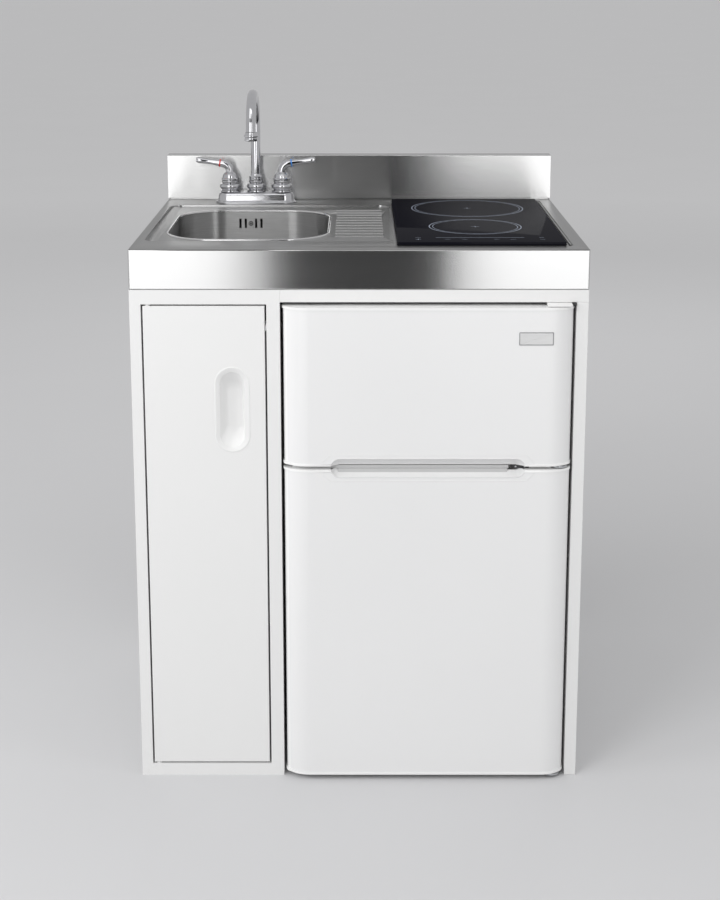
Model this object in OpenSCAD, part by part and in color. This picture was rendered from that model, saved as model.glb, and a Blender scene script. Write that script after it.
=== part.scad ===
/* [Unit] */
// Width over everything
unit_w = 762; // [740:1:900]
// Depth from the cabinet front to the wall
unit_d = 610; // [605:1:700]
// Height of the worktop's top face
worktop_z = 940; // [940:1:960]
// Height of the worktop's apron
apron_h = 68; // [66:1:80]
// Thickness of the stainless sheet
sheet_t = 1.5; // [1:0.1:1.8]
// Height of the backsplash
splash_h = 88; // [60:1:150]
// Depth of the backsplash's box section
splash_d = 33; // [20:1:34]

/* [Cabinet] */
// Width of the left cabinet
bay_w = 249.5; // [246:0.5:252]
// Thickness of the side, partition and rail boards
board_t = 18; // [15:1:20]
// Width of the front's left stile
stile_l = 18.7; // [18:0.1:24]
// Width of the front's right stile
stile_r = 22.3; // [20:0.1:26]
// Height of the front's bottom rail
rail_bottom = 22; // [20:0.5:40]
// Height of the front's top rail
rail_top = 24.5; // [20:0.5:32]
// Gap round the cabinet door
door_gap = 3; // [2.5:0.1:4]
// Thickness of the cabinet door
door_t = 16; // [14:0.5:18]
// Thickness of the right side panel
right_t = 20; // [16:0.5:22]
// Height of the front rail over the fridge
fridge_rail_h = 21; // [18:0.5:24]
// Radius of the door's pivot pins
pivot_r = 2.5; // [2:0.1:3]
// Distance of the pivot from the door's edge
pivot_in = 8; // [8:0.5:10]
// Depth of the pivot behind the door's face
pivot_back = 5; // [4.5:0.1:6]
// Running clearance of pins and shafts, on the radius
pin_play = 0.05; // [0.02:0.01:0.09]
// Distance of the pull's middle below the door's top
pull_drop = 178; // [140:1:300]
// Length of the pull's recess
pull_l = 131; // [100:1:150]
// Width of the pull's recess
pull_w = 41.5; // [30:0.5:50]

/* [Sink] */
// Width of the bowl
bowl_w = 280; // [260:1:285]
// Front-to-back size of the bowl
bowl_l = 330; // [300:1:335]
// Depth of the bowl below the drainer
bowl_h = 88; // [70:1:90]
// Radius of the bowl's upright corners
bowl_r = 82; // [60:1:100]
// Distance of the bowl from the unit's left side
bowl_in = 46; // [44:1:50]
// Depth of the sunk zone behind the bowl
zone_back = 53; // [48:1:58]
// Depth of the sunk zone in front of the bowl
zone_front = 30; // [26:1:40]
// Depth of the sunk sink and drainer zone
zone_h = 3; // [2:0.5:4]
// Number of drainer ridges
ridge_n = 11; // [6:1:11]
// Distance between drainer ridges
ridge_step = 30; // [24:0.5:30]
// Radius of the drain hole
drain_r = 27; // [24:0.5:28]
// Radius of the waste pipe
waste_r = 19; // [17:0.5:20]
// Height of the waste pipe at the wall
waste_z = 690; // [640:5:700]

/* [Tap] */
// Distance of the tap from the unit's left side
tap_in = 178; // [170:1:180]
// Distance of the tap's axis in front of the wall
tap_back = 71; // [70:1:76]
// Distance between the two handles
tap_span = 101.6; // [101.6:0.1:110]
// Radius of the spout tube
spout_r = 9.5; // [8:0.1:10.5]
// Reach of the spout
spout_reach = 130; // [110:1:150]
// Height of the spout's straight column over the worktop
spout_h = 151; // [130:1:180]
// Length of a handle's lever from its axis
lever_l = 67; // [60:1:72]
// Distance between the tap's base and the sunk zone
tap_gap = 21; // [15:1:26]

/* [Hob] */
// Width of the hob glass
hob_w = 283; // [276:1:286]
// Front-to-back size of the hob glass
hob_l = 506; // [490:1:510]
// Thickness of the hob glass
hob_t = 6; // [4:0.5:8]
// Distance of the hob glass from the unit's right side
hob_in = 34; // [32:1:38]
// Distance of the hob glass from the unit's front
hob_y = 38; // [34:1:44]
// Height of the hob's casing below the glass
hob_h = 54; // [48:1:58]
// Radius of the rear heating ring
ring_r_back = 105; // [90:1:108]
// Radius of the front heating ring
ring_r_front = 81; // [70:1:90]

/* [Fridge] */
// Height of the gap's middle between the two doors
split_z = 569.75; // [560:0.25:580]
// Gap between the two doors
split_gap = 6.5; // [6:0.1:8]
// Clear height under the lower door
fridge_foot = 10; // [10:0.5:14]
// Clear height over the upper door
fridge_top_gap = 6; // [6:0.5:9]
// Gap between the doors and the left cabinet
fridge_gap_l = 5.3; // [3:0.1:8]
// Gap between the doors and the right panel
fridge_gap_r = 3.2; // [3.2:0.1:6]
// How far the doors stand in front of the cabinet
door_crown = 18; // [10:1:20]
// Depth of the casing behind the doors
casing_d = 483; // [470:1:495]
// Thickness of the foam walls
foam_t = 36; // [30:1:42]
// Thickness of the plastic liners
liner_t = 2; // [1.5:0.1:2.5]
// Radius of the hinge pins
hinge_r = 4; // [3:0.1:4.5]
// Distance of the hinge pins from the doors' right edge
hinge_in = 20; // [18:0.5:24]
// Width of the pocket between the doors
pocket_w = 327.5; // [250:0.5:340]

/* [Hidden] */
$fn = 48;

// Unit: the front plane of the cabinet stands a door crown behind the foremost point
xl = -unit_w / 2;
xr = unit_w / 2;
front_y = -(unit_d + door_crown) / 2 + door_crown;
top_z = worktop_z - apron_h;
bay_x = xl + bay_w;
apart = 0.3;
deep = 2;

// Cabinet front opening and its door
open_x0 = xl + stile_l;
open_x1 = bay_x - stile_r;
open_z1 = top_z - rail_top;
door_x0 = open_x0 + door_gap;
door_x1 = open_x1 - door_gap;
door_z0 = rail_bottom + door_gap;
door_z1 = open_z1 - door_gap;
skin_t = 1.2;
pivot_x = door_x0 + pivot_in;
pivot_bore = 14;
pivot_root = 9;
pull_x = (door_x0 + door_x1) / 2 + 45.5;
pull_z = door_z1 - pull_drop;
pull_deep = 12;
cup_t = 1.6;
cup_rim = 9;
cup_rim_t = 0.7;
back_t = 6;
strike_w = 16;
strike_t = 1.5;
strike_in = 3;
strike_z = open_z1 - 32;
strike_h = 20;
catch_w = 22;
catch_d = 34;
catch_y = max(door_t + strike_t, board_t) + apart;
inner_x0 = xl + board_t;
inner_x1 = bay_x - board_t;
waste_hole_play = 12;
window_in = 25;
window_w = 80;
window_z = 400;
window_h = 160;
rear_hole_r = 4;
rear_hole_gap = 400;
rear_rail_h = 90;
rear_x = (bay_x + xr - right_t) / 2;

// Tap's place, and the worktop's zones in front of it
tap_x = xl + tap_in;
tap_y = unit_d - tap_back;
tap_base_w = 157;
tap_base_d = 50;
hob_x1 = xr - hob_in;
hob_x0 = hob_x1 - hob_w;
hob_y1 = hob_y + hob_l;
zone_y1 = tap_y - tap_base_d / 2 - tap_gap;
bowl_x0 = xl + bowl_in;
bowl_x1 = bowl_x0 + bowl_w;
bowl_y1 = zone_y1 - zone_back;
bowl_y = bowl_y1 - bowl_l;
zone_x0 = bowl_x0 - 31;
zone_x1 = hob_x0 - 4.5;
zone_y0 = bowl_y - zone_front;
zone_r = 22;
zone_slope = 22;
zone_z = worktop_z - zone_h;
hob_zone_h = 2;
hob_zone_z = worktop_z - hob_zone_h;
hob_margin = 12;
rib_w = 2.5;
seal_t = 1.7;
glass_z = hob_zone_z + seal_t;
return_w = 18;
ridge_x0 = bowl_x1 + 13;
ridge_x1 = zone_x1 - 17;
ridge_y0 = bowl_y + 33;
ridge_r = 3;
ridge_sunk = 1;
bowl_room = 12;
hose_room = 25;
hose_z = worktop_z - 200;
hob_zone_r = 12;

// Bowl and waste
bowl_t = 1;
bowl_top = zone_z - sheet_t;
bowl_z = zone_z - bowl_h;
bowl_foot_r = 22;
bowl_lip = 8;
drain_x = bowl_x0 + 127.7;
drain_y = (bowl_y + bowl_y1) / 2;
drain_wall = 2;
cup_h = 44;
cup_cone = 8;
slot_z0 = zone_z - 33;
slot_z1 = zone_z - 15;
slot_w = 4.2;
screw_r = 2;
slot_at = [-20.1, -9.9, 9.9, 20.1];
housing_w = 54;
housing_h = 34;
housing_d = 20;
over_r = 9;
over_bend = 22;
over_z = bowl_z - 92;
nut_w = 5;
trap_bend = 45;
elbow_bend = 40;
trap_top = waste_z - elbow_bend - 20;
pipe_t = 1.8;
tail_top = bowl_z - 62;
basket_play = 1;

// Tap's heights and radii
tap_base_h = 22;
tap_foot_h = 5;
tap_top = worktop_z + tap_base_h;
hub_h = 22;
hub_r = 21;
spout_hub_r = 18.5;
hub_top = tap_top + hub_h;
stem_r = 6;
shank_r = 10.3;
shank_bore = 6.5;
shank_len = 58;
shank_top_r = shank_r + 1.2;
shank_hole_r = shank_r + 4;
nut_h = 12;
nut_r = 21;
bend_r = spout_reach / 2;
bend_z = worktop_z + spout_h;
lever_rise = 32;
lever_z = hub_top + lever_rise;
nozzle_h = 17;
elbow_r = 14;
neck_r = 8;

// Hob inside
box_z = glass_z - hob_h;
coil_z = glass_z - 10;
fan_x = (hob_x0 + hob_x1) / 2 + 70;
fan_y = hob_y1 - 70;
fan_r = 32;
fan_h = 24;
fan_shaft = 3;
ring_x = (hob_x0 + hob_x1) / 2 - 0.5;
ring_y_back = hob_y1 - ring_r_back - 21;
ring_y_front = hob_y + 2 * ring_r_front;
board_x = ring_x - 60;
board_w = 100;
board_y = hob_y + 250;
board_l = 170;
board_z = box_z + 8;
board_pcb = 1.6;
board_post = 3;
board_edge = 6;
sink_l = 70;
sink_h = 18;
fin_w = 3;
fin_step = 8;
vent_x = hob_x0 + 40;
vent_step = 14;
vent_w = 6;
vent_y = hob_y + 30;
vent_l = 60;

// Fridge: doors
fd_x0 = bay_x + fridge_gap_l;
fd_x1 = xr - right_t - fridge_gap_r;
fd_y0 = -door_crown;
fd_y1 = 36;
side_y = 10;
edge_w = 41;
fd_z0 = fridge_foot;
fd_z1 = split_z - split_gap / 2;
zd_z0 = split_z + split_gap / 2;
zd_z1 = top_z - fridge_rail_h - fridge_top_gap;
flare = 0.8;
cap_h = 4;
steel_t = 1;
pan_t = 2;
hinge_x = fd_x1 - hinge_in;
hinge_y = 2;
hinge_bore = 12;
plate_t = 3;
plate_r = 14;
plate_long = 76;
plate_deep = 40;
plate_gap = 1.2;
pocket_x = (fd_x0 + fd_x1) / 2;
pocket_h = 32;
pocket_y = 14;
badge_x = fd_x1 - 64.3;
badge_z = zd_z1 - 52;
badge_w = 57;
badge_h = 22;

// Fridge: casing and compartments
case_x0 = fd_x0 + 2.2;
case_x1 = fd_x1 - 2.2;
case_y0 = fd_y1 + 12;
case_y1 = case_y0 + casing_d;
case_z0 = 25;
case_z1 = zd_z1 - 7;
in_x0 = case_x0 + foam_t + 3;
in_x1 = case_x1 - foam_t - 3;
in_y1 = case_y1 - foam_t - 10;
mull = 25;
fr_z0 = case_z0 + 37;
fr_z1 = split_z - mull;
zr_z0 = split_z + mull;
zr_z1 = case_z1 - 44;
niche_y = case_y1 - 160;
niche_z = 205;
hump_y = niche_y - foam_t - 1;
hump_z = niche_z + foam_t + 1;
gasket_w = 12;
gasket_x0 = case_x0 + 6;
gasket_x1 = hinge_x - 2.8;
shelf_z = 330;
cover_z = 212;
glass_t = 4;
ledge = 6;
crisp_y0 = case_y0 + 98;
crisp_y1 = hump_y - 18;
crisp_h = 140;
crisp_t = 2.5;
grip_w = 120;
grip_h = 22;
dyke_in = 22;
dyke_w = 10;
dyke_h = 18;
dyke_x1 = gasket_x1 - gasket_w - 14;
bin_y1 = case_y0 + 64;
bin_h = 70;
bin_t = 2.5;
bin_at = [240, 400];
comp_r = 68;
dial_r = 18;
dial_t = 11;
dial_shaft = 3;
house_w = 60;
house_h = 52;
house_l = 70;
dial_x = in_x1 - house_w / 2;
dial_z = fr_z1 - 45;
house_y = case_y0 + 282;
foot_r = 16;
foot_h = 10;
foot_in = 30;
foot_in_r = 62;
comp_x = (case_x0 + case_x1) / 2 + 60;
comp_y = niche_y + comp_r + 14;
comp_h = 152;
comp_box_w = 38;
comp_box_l = 56;
comp_box_h = 60;
coil_n = 12;
coil_step = 44;
coil_r = 3;
coil_in = 50;
coil_back = 18;
coil_z0 = niche_z + 60;
strap_w = 10;
strap_in = 15;
strap_end = 10;

// Moves what is drawn from the cabinet's front plane to its place in the frame
module placed() {
    translate([0, front_y, 0]) children();
}

// Box between two limits on each axis
module slab(x0, x1, y0, y1, z0, z1) {
    translate([x0, y0, z0]) cube([x1 - x0, y1 - y0, z1 - z0]);
}

// Outline with rounded corners, in plan
module round_plan(x0, x1, y0, y1, r) {
    translate([x0 + r, y0]) square([x1 - x0 - 2 * r, y1 - y0]);
    translate([x0, y0 + r]) square([x1 - x0, y1 - y0 - 2 * r]);
    for (x = [x0 + r, x1 - r], y = [y0 + r, y1 - r]) translate([x, y]) circle(r);
}

// Outline extruded upwards between two heights
module tall(z0, z1) {
    translate([0, 0, z0]) linear_extrude(z1 - z0) children();
}

// Outline drawn as seen from the front, extruded between two depths
module facing(y0, y1) {
    translate([0, y1, 0]) rotate([90, 0, 0]) linear_extrude(y1 - y0) children();
}

// Outline drawn as seen from the right, extruded between two widths
module sideways(x0, x1) {
    translate([x0, 0, 0]) rotate([90, 0, 90]) linear_extrude(x1 - x0) children();
}

// Upright tube or bar
module post(x, y, z0, z1, r) {
    translate([x, y, z0]) cylinder(h = z1 - z0, r = r);
}

// Ring-shaped upright tube
module tube(x, y, z0, z1, r_out, r_in) {
    difference() {
        post(x, y, z0, z1, r_out);
        post(x, y, z0 - deep, z1 + deep, r_in);
    }
}

/* Cabinet */

module cabinet_face_frame() placed() color("white") difference() {
    slab(xl, bay_x, 0, board_t, 0, top_z);
    slab(open_x0, open_x1, -deep, board_t + deep, rail_bottom, open_z1);
    pivot_pins(0);
}

module left_side_panel() placed() color("white")
    slab(xl, xl + board_t, board_t, unit_d, 0, top_z);

module right_side_panel() placed() color("white") difference() {
    slab(xr - right_t, xr, 0, unit_d, 0, top_z);
    slab(xr - right_t - deep, xr + deep, -deep, board_t, top_z - fridge_rail_h, top_z + deep);
}

// The partition is cut down under the bowl and beside the supply hose
module partition_panel() placed() color("white") difference() {
    slab(bay_x - board_t, bay_x, board_t, unit_d, 0, top_z);
    slab(bay_x - board_t - deep, bay_x + deep, bowl_y - bowl_room, bowl_y1 + bowl_room, bowl_z - 4,
        top_z + deep);
    slab(bay_x - board_t - deep, bay_x + deep, tap_y - hose_room, tap_y + hose_room, hose_z, top_z + deep);
}

module cabinet_floor() placed() color("white")
    slab(inner_x0, inner_x1, board_t, unit_d - back_t, rail_bottom - board_t, rail_bottom);

// The back has a round hole for the waste pipe and a window for the supply hoses
module cabinet_back() placed() color("gainsboro") difference() {
    slab(inner_x0, inner_x1, unit_d - back_t, unit_d, 0, top_z);
    facing(unit_d - back_t - deep, unit_d + deep) translate([drain_x, waste_z])
        circle(waste_r + waste_hole_play);
    slab(inner_x0 + window_in, inner_x0 + window_in + window_w, unit_d - back_t - deep, unit_d + deep,
        window_z, window_z + window_h);
}

module front_top_rail() placed() color("white")
    slab(bay_x, xr, 0, board_t, top_z - fridge_rail_h, top_z);

// Two holes take the wall screws
module rear_top_rail() placed() color("white") difference() {
    slab(bay_x, xr - right_t, unit_d - board_t, unit_d, top_z - rear_rail_h, top_z);
    for (s = [-1, 1])
        facing(unit_d - board_t - deep, unit_d + deep)
            translate([rear_x + s * rear_hole_gap / 2, top_z - rear_rail_h / 2]) circle(rear_hole_r);
}

module pivot_pins(play) {
    post(pivot_x, pivot_back, door_z1 - pivot_bore + 2, open_z1 + pivot_root, pivot_r + play);
    post(pivot_x, pivot_back, rail_bottom - pivot_root, door_z0 + pivot_bore - 2, pivot_r + play);
}

module door_pivots() placed() color("dimgray") pivot_pins(0);

module magnetic_catch() placed() color("white")
    slab(inner_x1 - catch_w, inner_x1, catch_y, catch_y + catch_d, strike_z, strike_z + strike_h);

module pull_outline(grow) {
    hull() for (s = [-1, 1])
        translate([pull_x, pull_z + s * (pull_l - pull_w) / 2]) circle(pull_w / 2 + grow, $fn = 32);
}

// Folded steel pan: a front sheet with four returns
module cabinet_door_skin() placed() color("white") difference() {
    slab(door_x0, door_x1, 0, door_t, door_z0, door_z1);
    slab(door_x0 + skin_t, door_x1 - skin_t, skin_t, door_t + deep, door_z0 + skin_t, door_z1 - skin_t);
    facing(-deep, door_t) pull_outline(0);
    door_bores();
}

module door_bores() {
    post(pivot_x, pivot_back, door_z1 - pivot_bore, door_z1 + deep, pivot_r + pin_play);
    post(pivot_x, pivot_back, door_z0 - deep, door_z0 + pivot_bore, pivot_r + pin_play);
}

module cabinet_door_core() placed() color("tan") difference() {
    slab(door_x0 + skin_t, door_x1 - skin_t, skin_t, door_t, door_z0 + skin_t, door_z1 - skin_t);
    facing(-deep, door_t + deep) pull_outline(0);
    door_bores();
}

// Moulded cup behind the pull's hole: an open front, a wall and a floor
module pull_cup() placed() color("white") difference() {
    union() {
        facing(0, pull_deep + cup_t) pull_outline(0);
        facing(-cup_rim_t, 0) pull_outline(cup_rim);
    }
    hull() {
        facing(-deep, 0) pull_outline(-cup_t);
        facing(pull_deep - 1, pull_deep) offset(delta = -3) pull_outline(-cup_t);
    }
}

module catch_strike() placed() color("silver")
    slab(door_x1 - strike_in - strike_w, door_x1 - strike_in, door_t, door_t + strike_t, strike_z,
        strike_z + strike_h);

/* Worktop and sink */

module bowl_plan(grow) {
    round_plan(bowl_x0 - grow, bowl_x1 + grow, bowl_y - grow, bowl_y1 + grow, bowl_r + grow);
}

module hob_zone_plan(grow) {
    round_plan(zone_x1 + rib_w - grow, hob_x1 + 11 + grow, hob_y - 8 - grow, hob_y1 + 16 + grow,
        hob_zone_r + grow);
}

// Plan of the sunk zone round the bowl and the drainer, between two heights
module sink_zone(z0, z1) {
    tall(z0, z1) round_plan(zone_x0, zone_x1, zone_y0, zone_y1, zone_r);
}

module worktop() placed() color("silver") {
    worktop_sheet();
    drainer_ridges();
}

// Sheet with turned-down sides; the sunk zone slopes down on its left
module worktop_sheet() difference() {
    union() {
        difference() {
            slab(xl, xr, 0, unit_d, top_z, worktop_z);
            slab(xl + sheet_t, xr - sheet_t, sheet_t, unit_d - sheet_t, top_z + sheet_t,
                worktop_z - sheet_t);
            slab(xl + return_w, xr - return_w, return_w, unit_d - return_w, top_z - deep, top_z + 2 * deep);
        }
        tall(zone_z - sheet_t, worktop_z - sheet_t)
            round_plan(zone_x0 - sheet_t, zone_x1 + 1, zone_y0 - sheet_t, zone_y1 + sheet_t, zone_r);
        tall(hob_zone_z - sheet_t, worktop_z - sheet_t) hob_zone_plan(sheet_t);
    }
    intersection() {
        sink_zone(zone_z, worktop_z + deep);
        facing(0, unit_d) polygon([
            [zone_x0, worktop_z], [zone_x0 + zone_slope, zone_z], [zone_x1, zone_z],
            [zone_x1, worktop_z + deep], [zone_x0, worktop_z + deep]
        ]);
    }
    tall(hob_zone_z, worktop_z + deep) hob_zone_plan(0);
    tall(zone_z - sheet_t - deep, zone_z + deep) bowl_plan(0);
    slab(hob_x0 + hob_margin, hob_x1 - hob_margin, hob_y + hob_margin, hob_y1 - hob_margin,
        hob_zone_z - sheet_t - deep, worktop_z);
    tap_shank_posts(worktop_z - sheet_t - deep, worktop_z + deep, shank_hole_r);
    post(tap_x, tap_y, worktop_z - sheet_t - deep, worktop_z + deep, shank_hole_r);
}

module drainer_ridges() {
    for (i = [0:ridge_n - 1])
        translate([ridge_x0, ridge_y0 + i * ridge_step, zone_z - ridge_sunk])
            rotate([0, 90, 0]) cylinder(h = ridge_x1 - ridge_x0, r = ridge_r);
}

module backsplash() placed() color("silver") difference() {
    union() {
        slab(xl, xr, unit_d - splash_d, unit_d, worktop_z + 2.5, worktop_z + splash_h);
        slab(xl + 4, xr - 4, unit_d - splash_d + 4, unit_d, worktop_z, worktop_z + 3);
    }
    slab(xl + 4 + sheet_t, xr - 4 - sheet_t, unit_d - splash_d + 4 + sheet_t, unit_d - sheet_t,
        worktop_z - deep, worktop_z + splash_h - sheet_t);
}

// Section of a floor that turns up into a wall at w through a round foot of radius f
module foot_section(w, f) {
    square([w - f, f]);
    translate([w - f, f]) intersection() {
        circle(f);
        translate([0, -f]) square(f);
    }
}

// Bowl shape: upright walls that turn into the floor through a round foot
module bowl_form(grow, top) {
    r = bowl_r + grow;
    f = bowl_foot_r + grow;
    floor_z = bowl_z - grow;
    x0 = bowl_x0 + bowl_r;
    x1 = bowl_x1 - bowl_r;
    y0 = bowl_y + bowl_r;
    y1 = bowl_y1 - bowl_r;
    tall(floor_z + f, top) bowl_plan(grow);
    for (x = [x0, x1], y = [y0, y1])
        translate([x, y, floor_z]) rotate_extrude() foot_section(r, f);
    for (m = [0, 1])
        translate([0, m * (bowl_y + bowl_y1), floor_z]) mirror([0, m, 0]) sideways(x0, x1)
            translate([y1, 0]) foot_section(r, f);
    for (m = [0, 1])
        translate([m * (bowl_x0 + bowl_x1), 0, floor_z]) mirror([m, 0, 0]) facing(y0, y1)
            translate([x1, 0]) foot_section(r, f);
    slab(x0, x1, y0, y1, floor_z, floor_z + f);
}

module sink_bowl() placed() color("silver") difference() {
    union() {
        bowl_form(bowl_t, bowl_top);
        tall(bowl_top - bowl_t, bowl_top) bowl_plan(bowl_lip);
    }
    bowl_form(0, bowl_top + deep);
    post(drain_x, drain_y, bowl_z - 3 * deep, bowl_z + deep, drain_r);
    facing(bowl_y1 - deep, bowl_y1 + 2 * deep) translate([drain_x, (slot_z0 + slot_z1) / 2])
        circle(screw_r);
    for (s = slot_at)
        slab(drain_x + s - slot_w / 2, drain_x + s + slot_w / 2, bowl_y1 - deep, bowl_y1 + 2 * deep,
            slot_z0, slot_z1);
}

// Housing behind the slots, its screw and the pipe that joins the waste below the bowl
module overflow_pipe() placed() color("white") {
    facing(bowl_y1 - 2.5, bowl_y1) translate([drain_x, (slot_z0 + slot_z1) / 2]) circle(2.2 * screw_r);
    facing(bowl_y1 - 1, bowl_y1 + bowl_t + housing_d) translate([drain_x, (slot_z0 + slot_z1) / 2])
        circle(screw_r);
    difference() {
        slab(drain_x - housing_w / 2, drain_x + housing_w / 2, bowl_y1 + bowl_t,
            bowl_y1 + bowl_t + housing_d, slot_z0 - 8, slot_z0 - 8 + housing_h);
        slab(drain_x - housing_w / 2 + 2, drain_x + housing_w / 2 - 2, bowl_y1 - deep,
            bowl_y1 + bowl_t + housing_d - 2, slot_z0 - 6, slot_z0 - 10 + housing_h);
    }
    over_y = bowl_y1 + bowl_t + housing_d / 2 + 1;
    translate([drain_x, over_y, 0]) post(0, 0, over_z + over_bend, slot_z0 - 8, over_r);
    translate([drain_x, over_y - over_bend, over_z + over_bend]) rotate([0, 90, 0])
        rotate_extrude(angle = 90) translate([over_bend, 0]) circle(over_r);
    difference() {
        translate([drain_x, over_y - over_bend, over_z]) rotate([90, 0, 0])
            cylinder(h = over_y - over_bend - drain_y, r = over_r);
        post(drain_x, drain_y, over_z - 20, over_z + 20, waste_r);
    }
}

// Flanged cup under the drain hole
module strainer_body() placed() color("silver") translate([drain_x, drain_y, 0])
    rotate_extrude() polygon([
        [drain_r - drain_wall, bowl_z + 2], [drain_r + 15, bowl_z + 0.8], [drain_r + 15, bowl_z],
        [drain_r, bowl_z], [drain_r, bowl_z - cup_h], [waste_r, bowl_z - cup_h - cup_cone],
        [waste_r, tail_top],
        [waste_r - pipe_t, tail_top], [waste_r - pipe_t, bowl_z - cup_h - cup_cone - 1],
        [drain_r - drain_wall, bowl_z - cup_h - 1]
    ]);

// Locknut under the bowl and slip nuts on the waste pipe
module waste_nuts() placed() color("white") {
    tube(drain_x, drain_y, bowl_z - 11, bowl_z - bowl_t, drain_r + 9, drain_r);
    tube(drain_x, drain_y, tail_top - 10, tail_top + 8, waste_r + nut_w, waste_r);
    tube(drain_x, drain_y, trap_top - 10, trap_top + 8, waste_r + nut_w, waste_r);
}

module pipe_ring() {
    difference() {
        circle(waste_r);
        circle(waste_r - pipe_t);
    }
}

// Straight tailpiece, U bend, then an elbow into the arm that goes to the wall
module p_trap() placed() color("white") translate([drain_x, 0, 0]) {
    u_z = trap_top - 30;
    u_y = drain_y + trap_bend;
    up_y = drain_y + 2 * trap_bend;
    tube(0, drain_y, u_z, tail_top, waste_r, waste_r - pipe_t);
    translate([0, u_y, u_z]) rotate([0, 90, 0]) rotate([0, 0, -90])
        rotate_extrude(angle = 180) translate([trap_bend, 0]) pipe_ring();
    tube(0, up_y, u_z, waste_z - elbow_bend, waste_r, waste_r - pipe_t);
    translate([0, up_y + elbow_bend, waste_z - elbow_bend]) rotate([0, 90, 0]) rotate([0, 0, 180])
        rotate_extrude(angle = 90) translate([elbow_bend, 0]) pipe_ring();
    translate([0, unit_d, waste_z]) rotate([90, 0, 0])
        linear_extrude(unit_d - up_y - elbow_bend) pipe_ring();
}

// Basket that lifts out of the drain
module strainer_basket() placed() color("gainsboro") translate([drain_x, drain_y, 0])
    difference() {
        rotate_extrude() polygon([
            [0, bowl_z - 30], [drain_r - 8, bowl_z - 30], [drain_r - drain_wall - basket_play, bowl_z - 6],
            [drain_r - drain_wall - basket_play, bowl_z + 2.4], [drain_r + 4, bowl_z + 2.4],
            [drain_r + 4, bowl_z + 3.4], [drain_r - 5, bowl_z + 3.4], [drain_r - 5, bowl_z - 6],
            [drain_r - 10, bowl_z - 28], [3, bowl_z - 28], [3, bowl_z + 1], [4.5, bowl_z + 4],
            [0, bowl_z + 4]
        ]);
        for (a = [0:60:300]) rotate([0, 0, a]) post(10, 0, bowl_z - 34, bowl_z - 26, 2.2);
    }

/* Tap */

module tap_plan(grow) {
    round_plan(tap_x - tap_base_w / 2 - grow, tap_x + tap_base_w / 2 + grow,
        tap_y - tap_base_d / 2 - grow, tap_y + tap_base_d / 2 + grow, tap_base_d / 2 + grow - 0.01);
}

module tap_shank_posts(z0, z1, r) {
    for (s = [-1, 1]) post(tap_x + s * tap_span / 2, tap_y, z0, z1, r);
}

module tap_base() placed() color("silver") difference() {
    union() {
        tall(worktop_z, worktop_z + tap_foot_h) tap_plan(0.5);
        tall(worktop_z + tap_foot_h, tap_top - 3) tap_plan(-4);
        tall(tap_top - 3, tap_top) tap_plan(-5.5);
    }
    tap_shank_posts(worktop_z - deep, tap_top + deep, shank_top_r);
    post(tap_x, tap_y, worktop_z - deep, tap_top + deep, spout_r + pin_play);
}

// Round hubs: a foot, a swelling and a neck ring
module hub_form(r, bore) {
    rotate_extrude() polygon(concat(
        [[bore, tap_top], [r - 2, tap_top], [r - 2, tap_top + 2.5], [r - 4.5, tap_top + 3]],
        [for (a = [-60:15:60]) [r - 6 + 6 * cos(a), tap_top + 9.5 + 6.5 * sin(a)]],
        [[r - 6, tap_top + 17], [r - 4.5, tap_top + 17.5], [r - 4.5, hub_top], [bore, hub_top]]
    ));
}

module tap_hubs() placed() color("silver") {
    for (s = [-1, 1])
        translate([tap_x + s * tap_span / 2, tap_y, 0]) hub_form(hub_r, stem_r + pin_play);
    translate([tap_x, tap_y, 0]) hub_form(spout_hub_r, spout_r + pin_play);
}

// Shanks with the supply waterways in them: a body in the worktop and a threaded tail below it
module tap_shanks() placed() color("silver")
    for (s = [-1, 1]) {
        x = tap_x + s * tap_span / 2;
        nut_z = worktop_z - sheet_t - nut_h;
        tube(x, tap_y, nut_z, tap_top - 4, shank_top_r, shank_bore);
        tube(x, tap_y, worktop_z - shank_len, nut_z, shank_r, shank_bore);
    }

module tap_locknuts() placed() color("white")
    for (s = [-1, 1])
        tube(tap_x + s * tap_span / 2, tap_y, worktop_z - sheet_t - nut_h, worktop_z - sheet_t, nut_r,
            shank_top_r);

// Column, half-circle bend and outlet, with a collar on the hub
module spout() placed() color("silver") translate([tap_x, 0, 0]) {
    difference() {
        union() {
            post(0, tap_y, worktop_z + tap_foot_h, bend_z, spout_r);
            post(0, tap_y, hub_top + apart, hub_top + 9, 13.5);
        }
        post(0, tap_y, worktop_z, bend_z + deep, spout_r - 2);
    }
    translate([0, tap_y - bend_r, bend_z]) rotate([90, 0, 90])
        rotate_extrude(angle = 180) translate([bend_r, 0]) difference() {
            circle(spout_r);
            circle(spout_r - 2);
        }
}

// Collar and nozzle at the outlet
module aerator() placed() color("silver")
    translate([tap_x, tap_y - spout_reach, bend_z]) rotate_extrude() polygon([
        [spout_r - 2, 0], [spout_r + 1.5, 0], [spout_r + 1.5, -4], [spout_r + 4, -5.5],
        [spout_r + 4, -8.5], [spout_r + 2, -9.5], [spout_r + 2.5, -nozzle_h], [spout_r - 2, -nozzle_h]
    ]);

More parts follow.
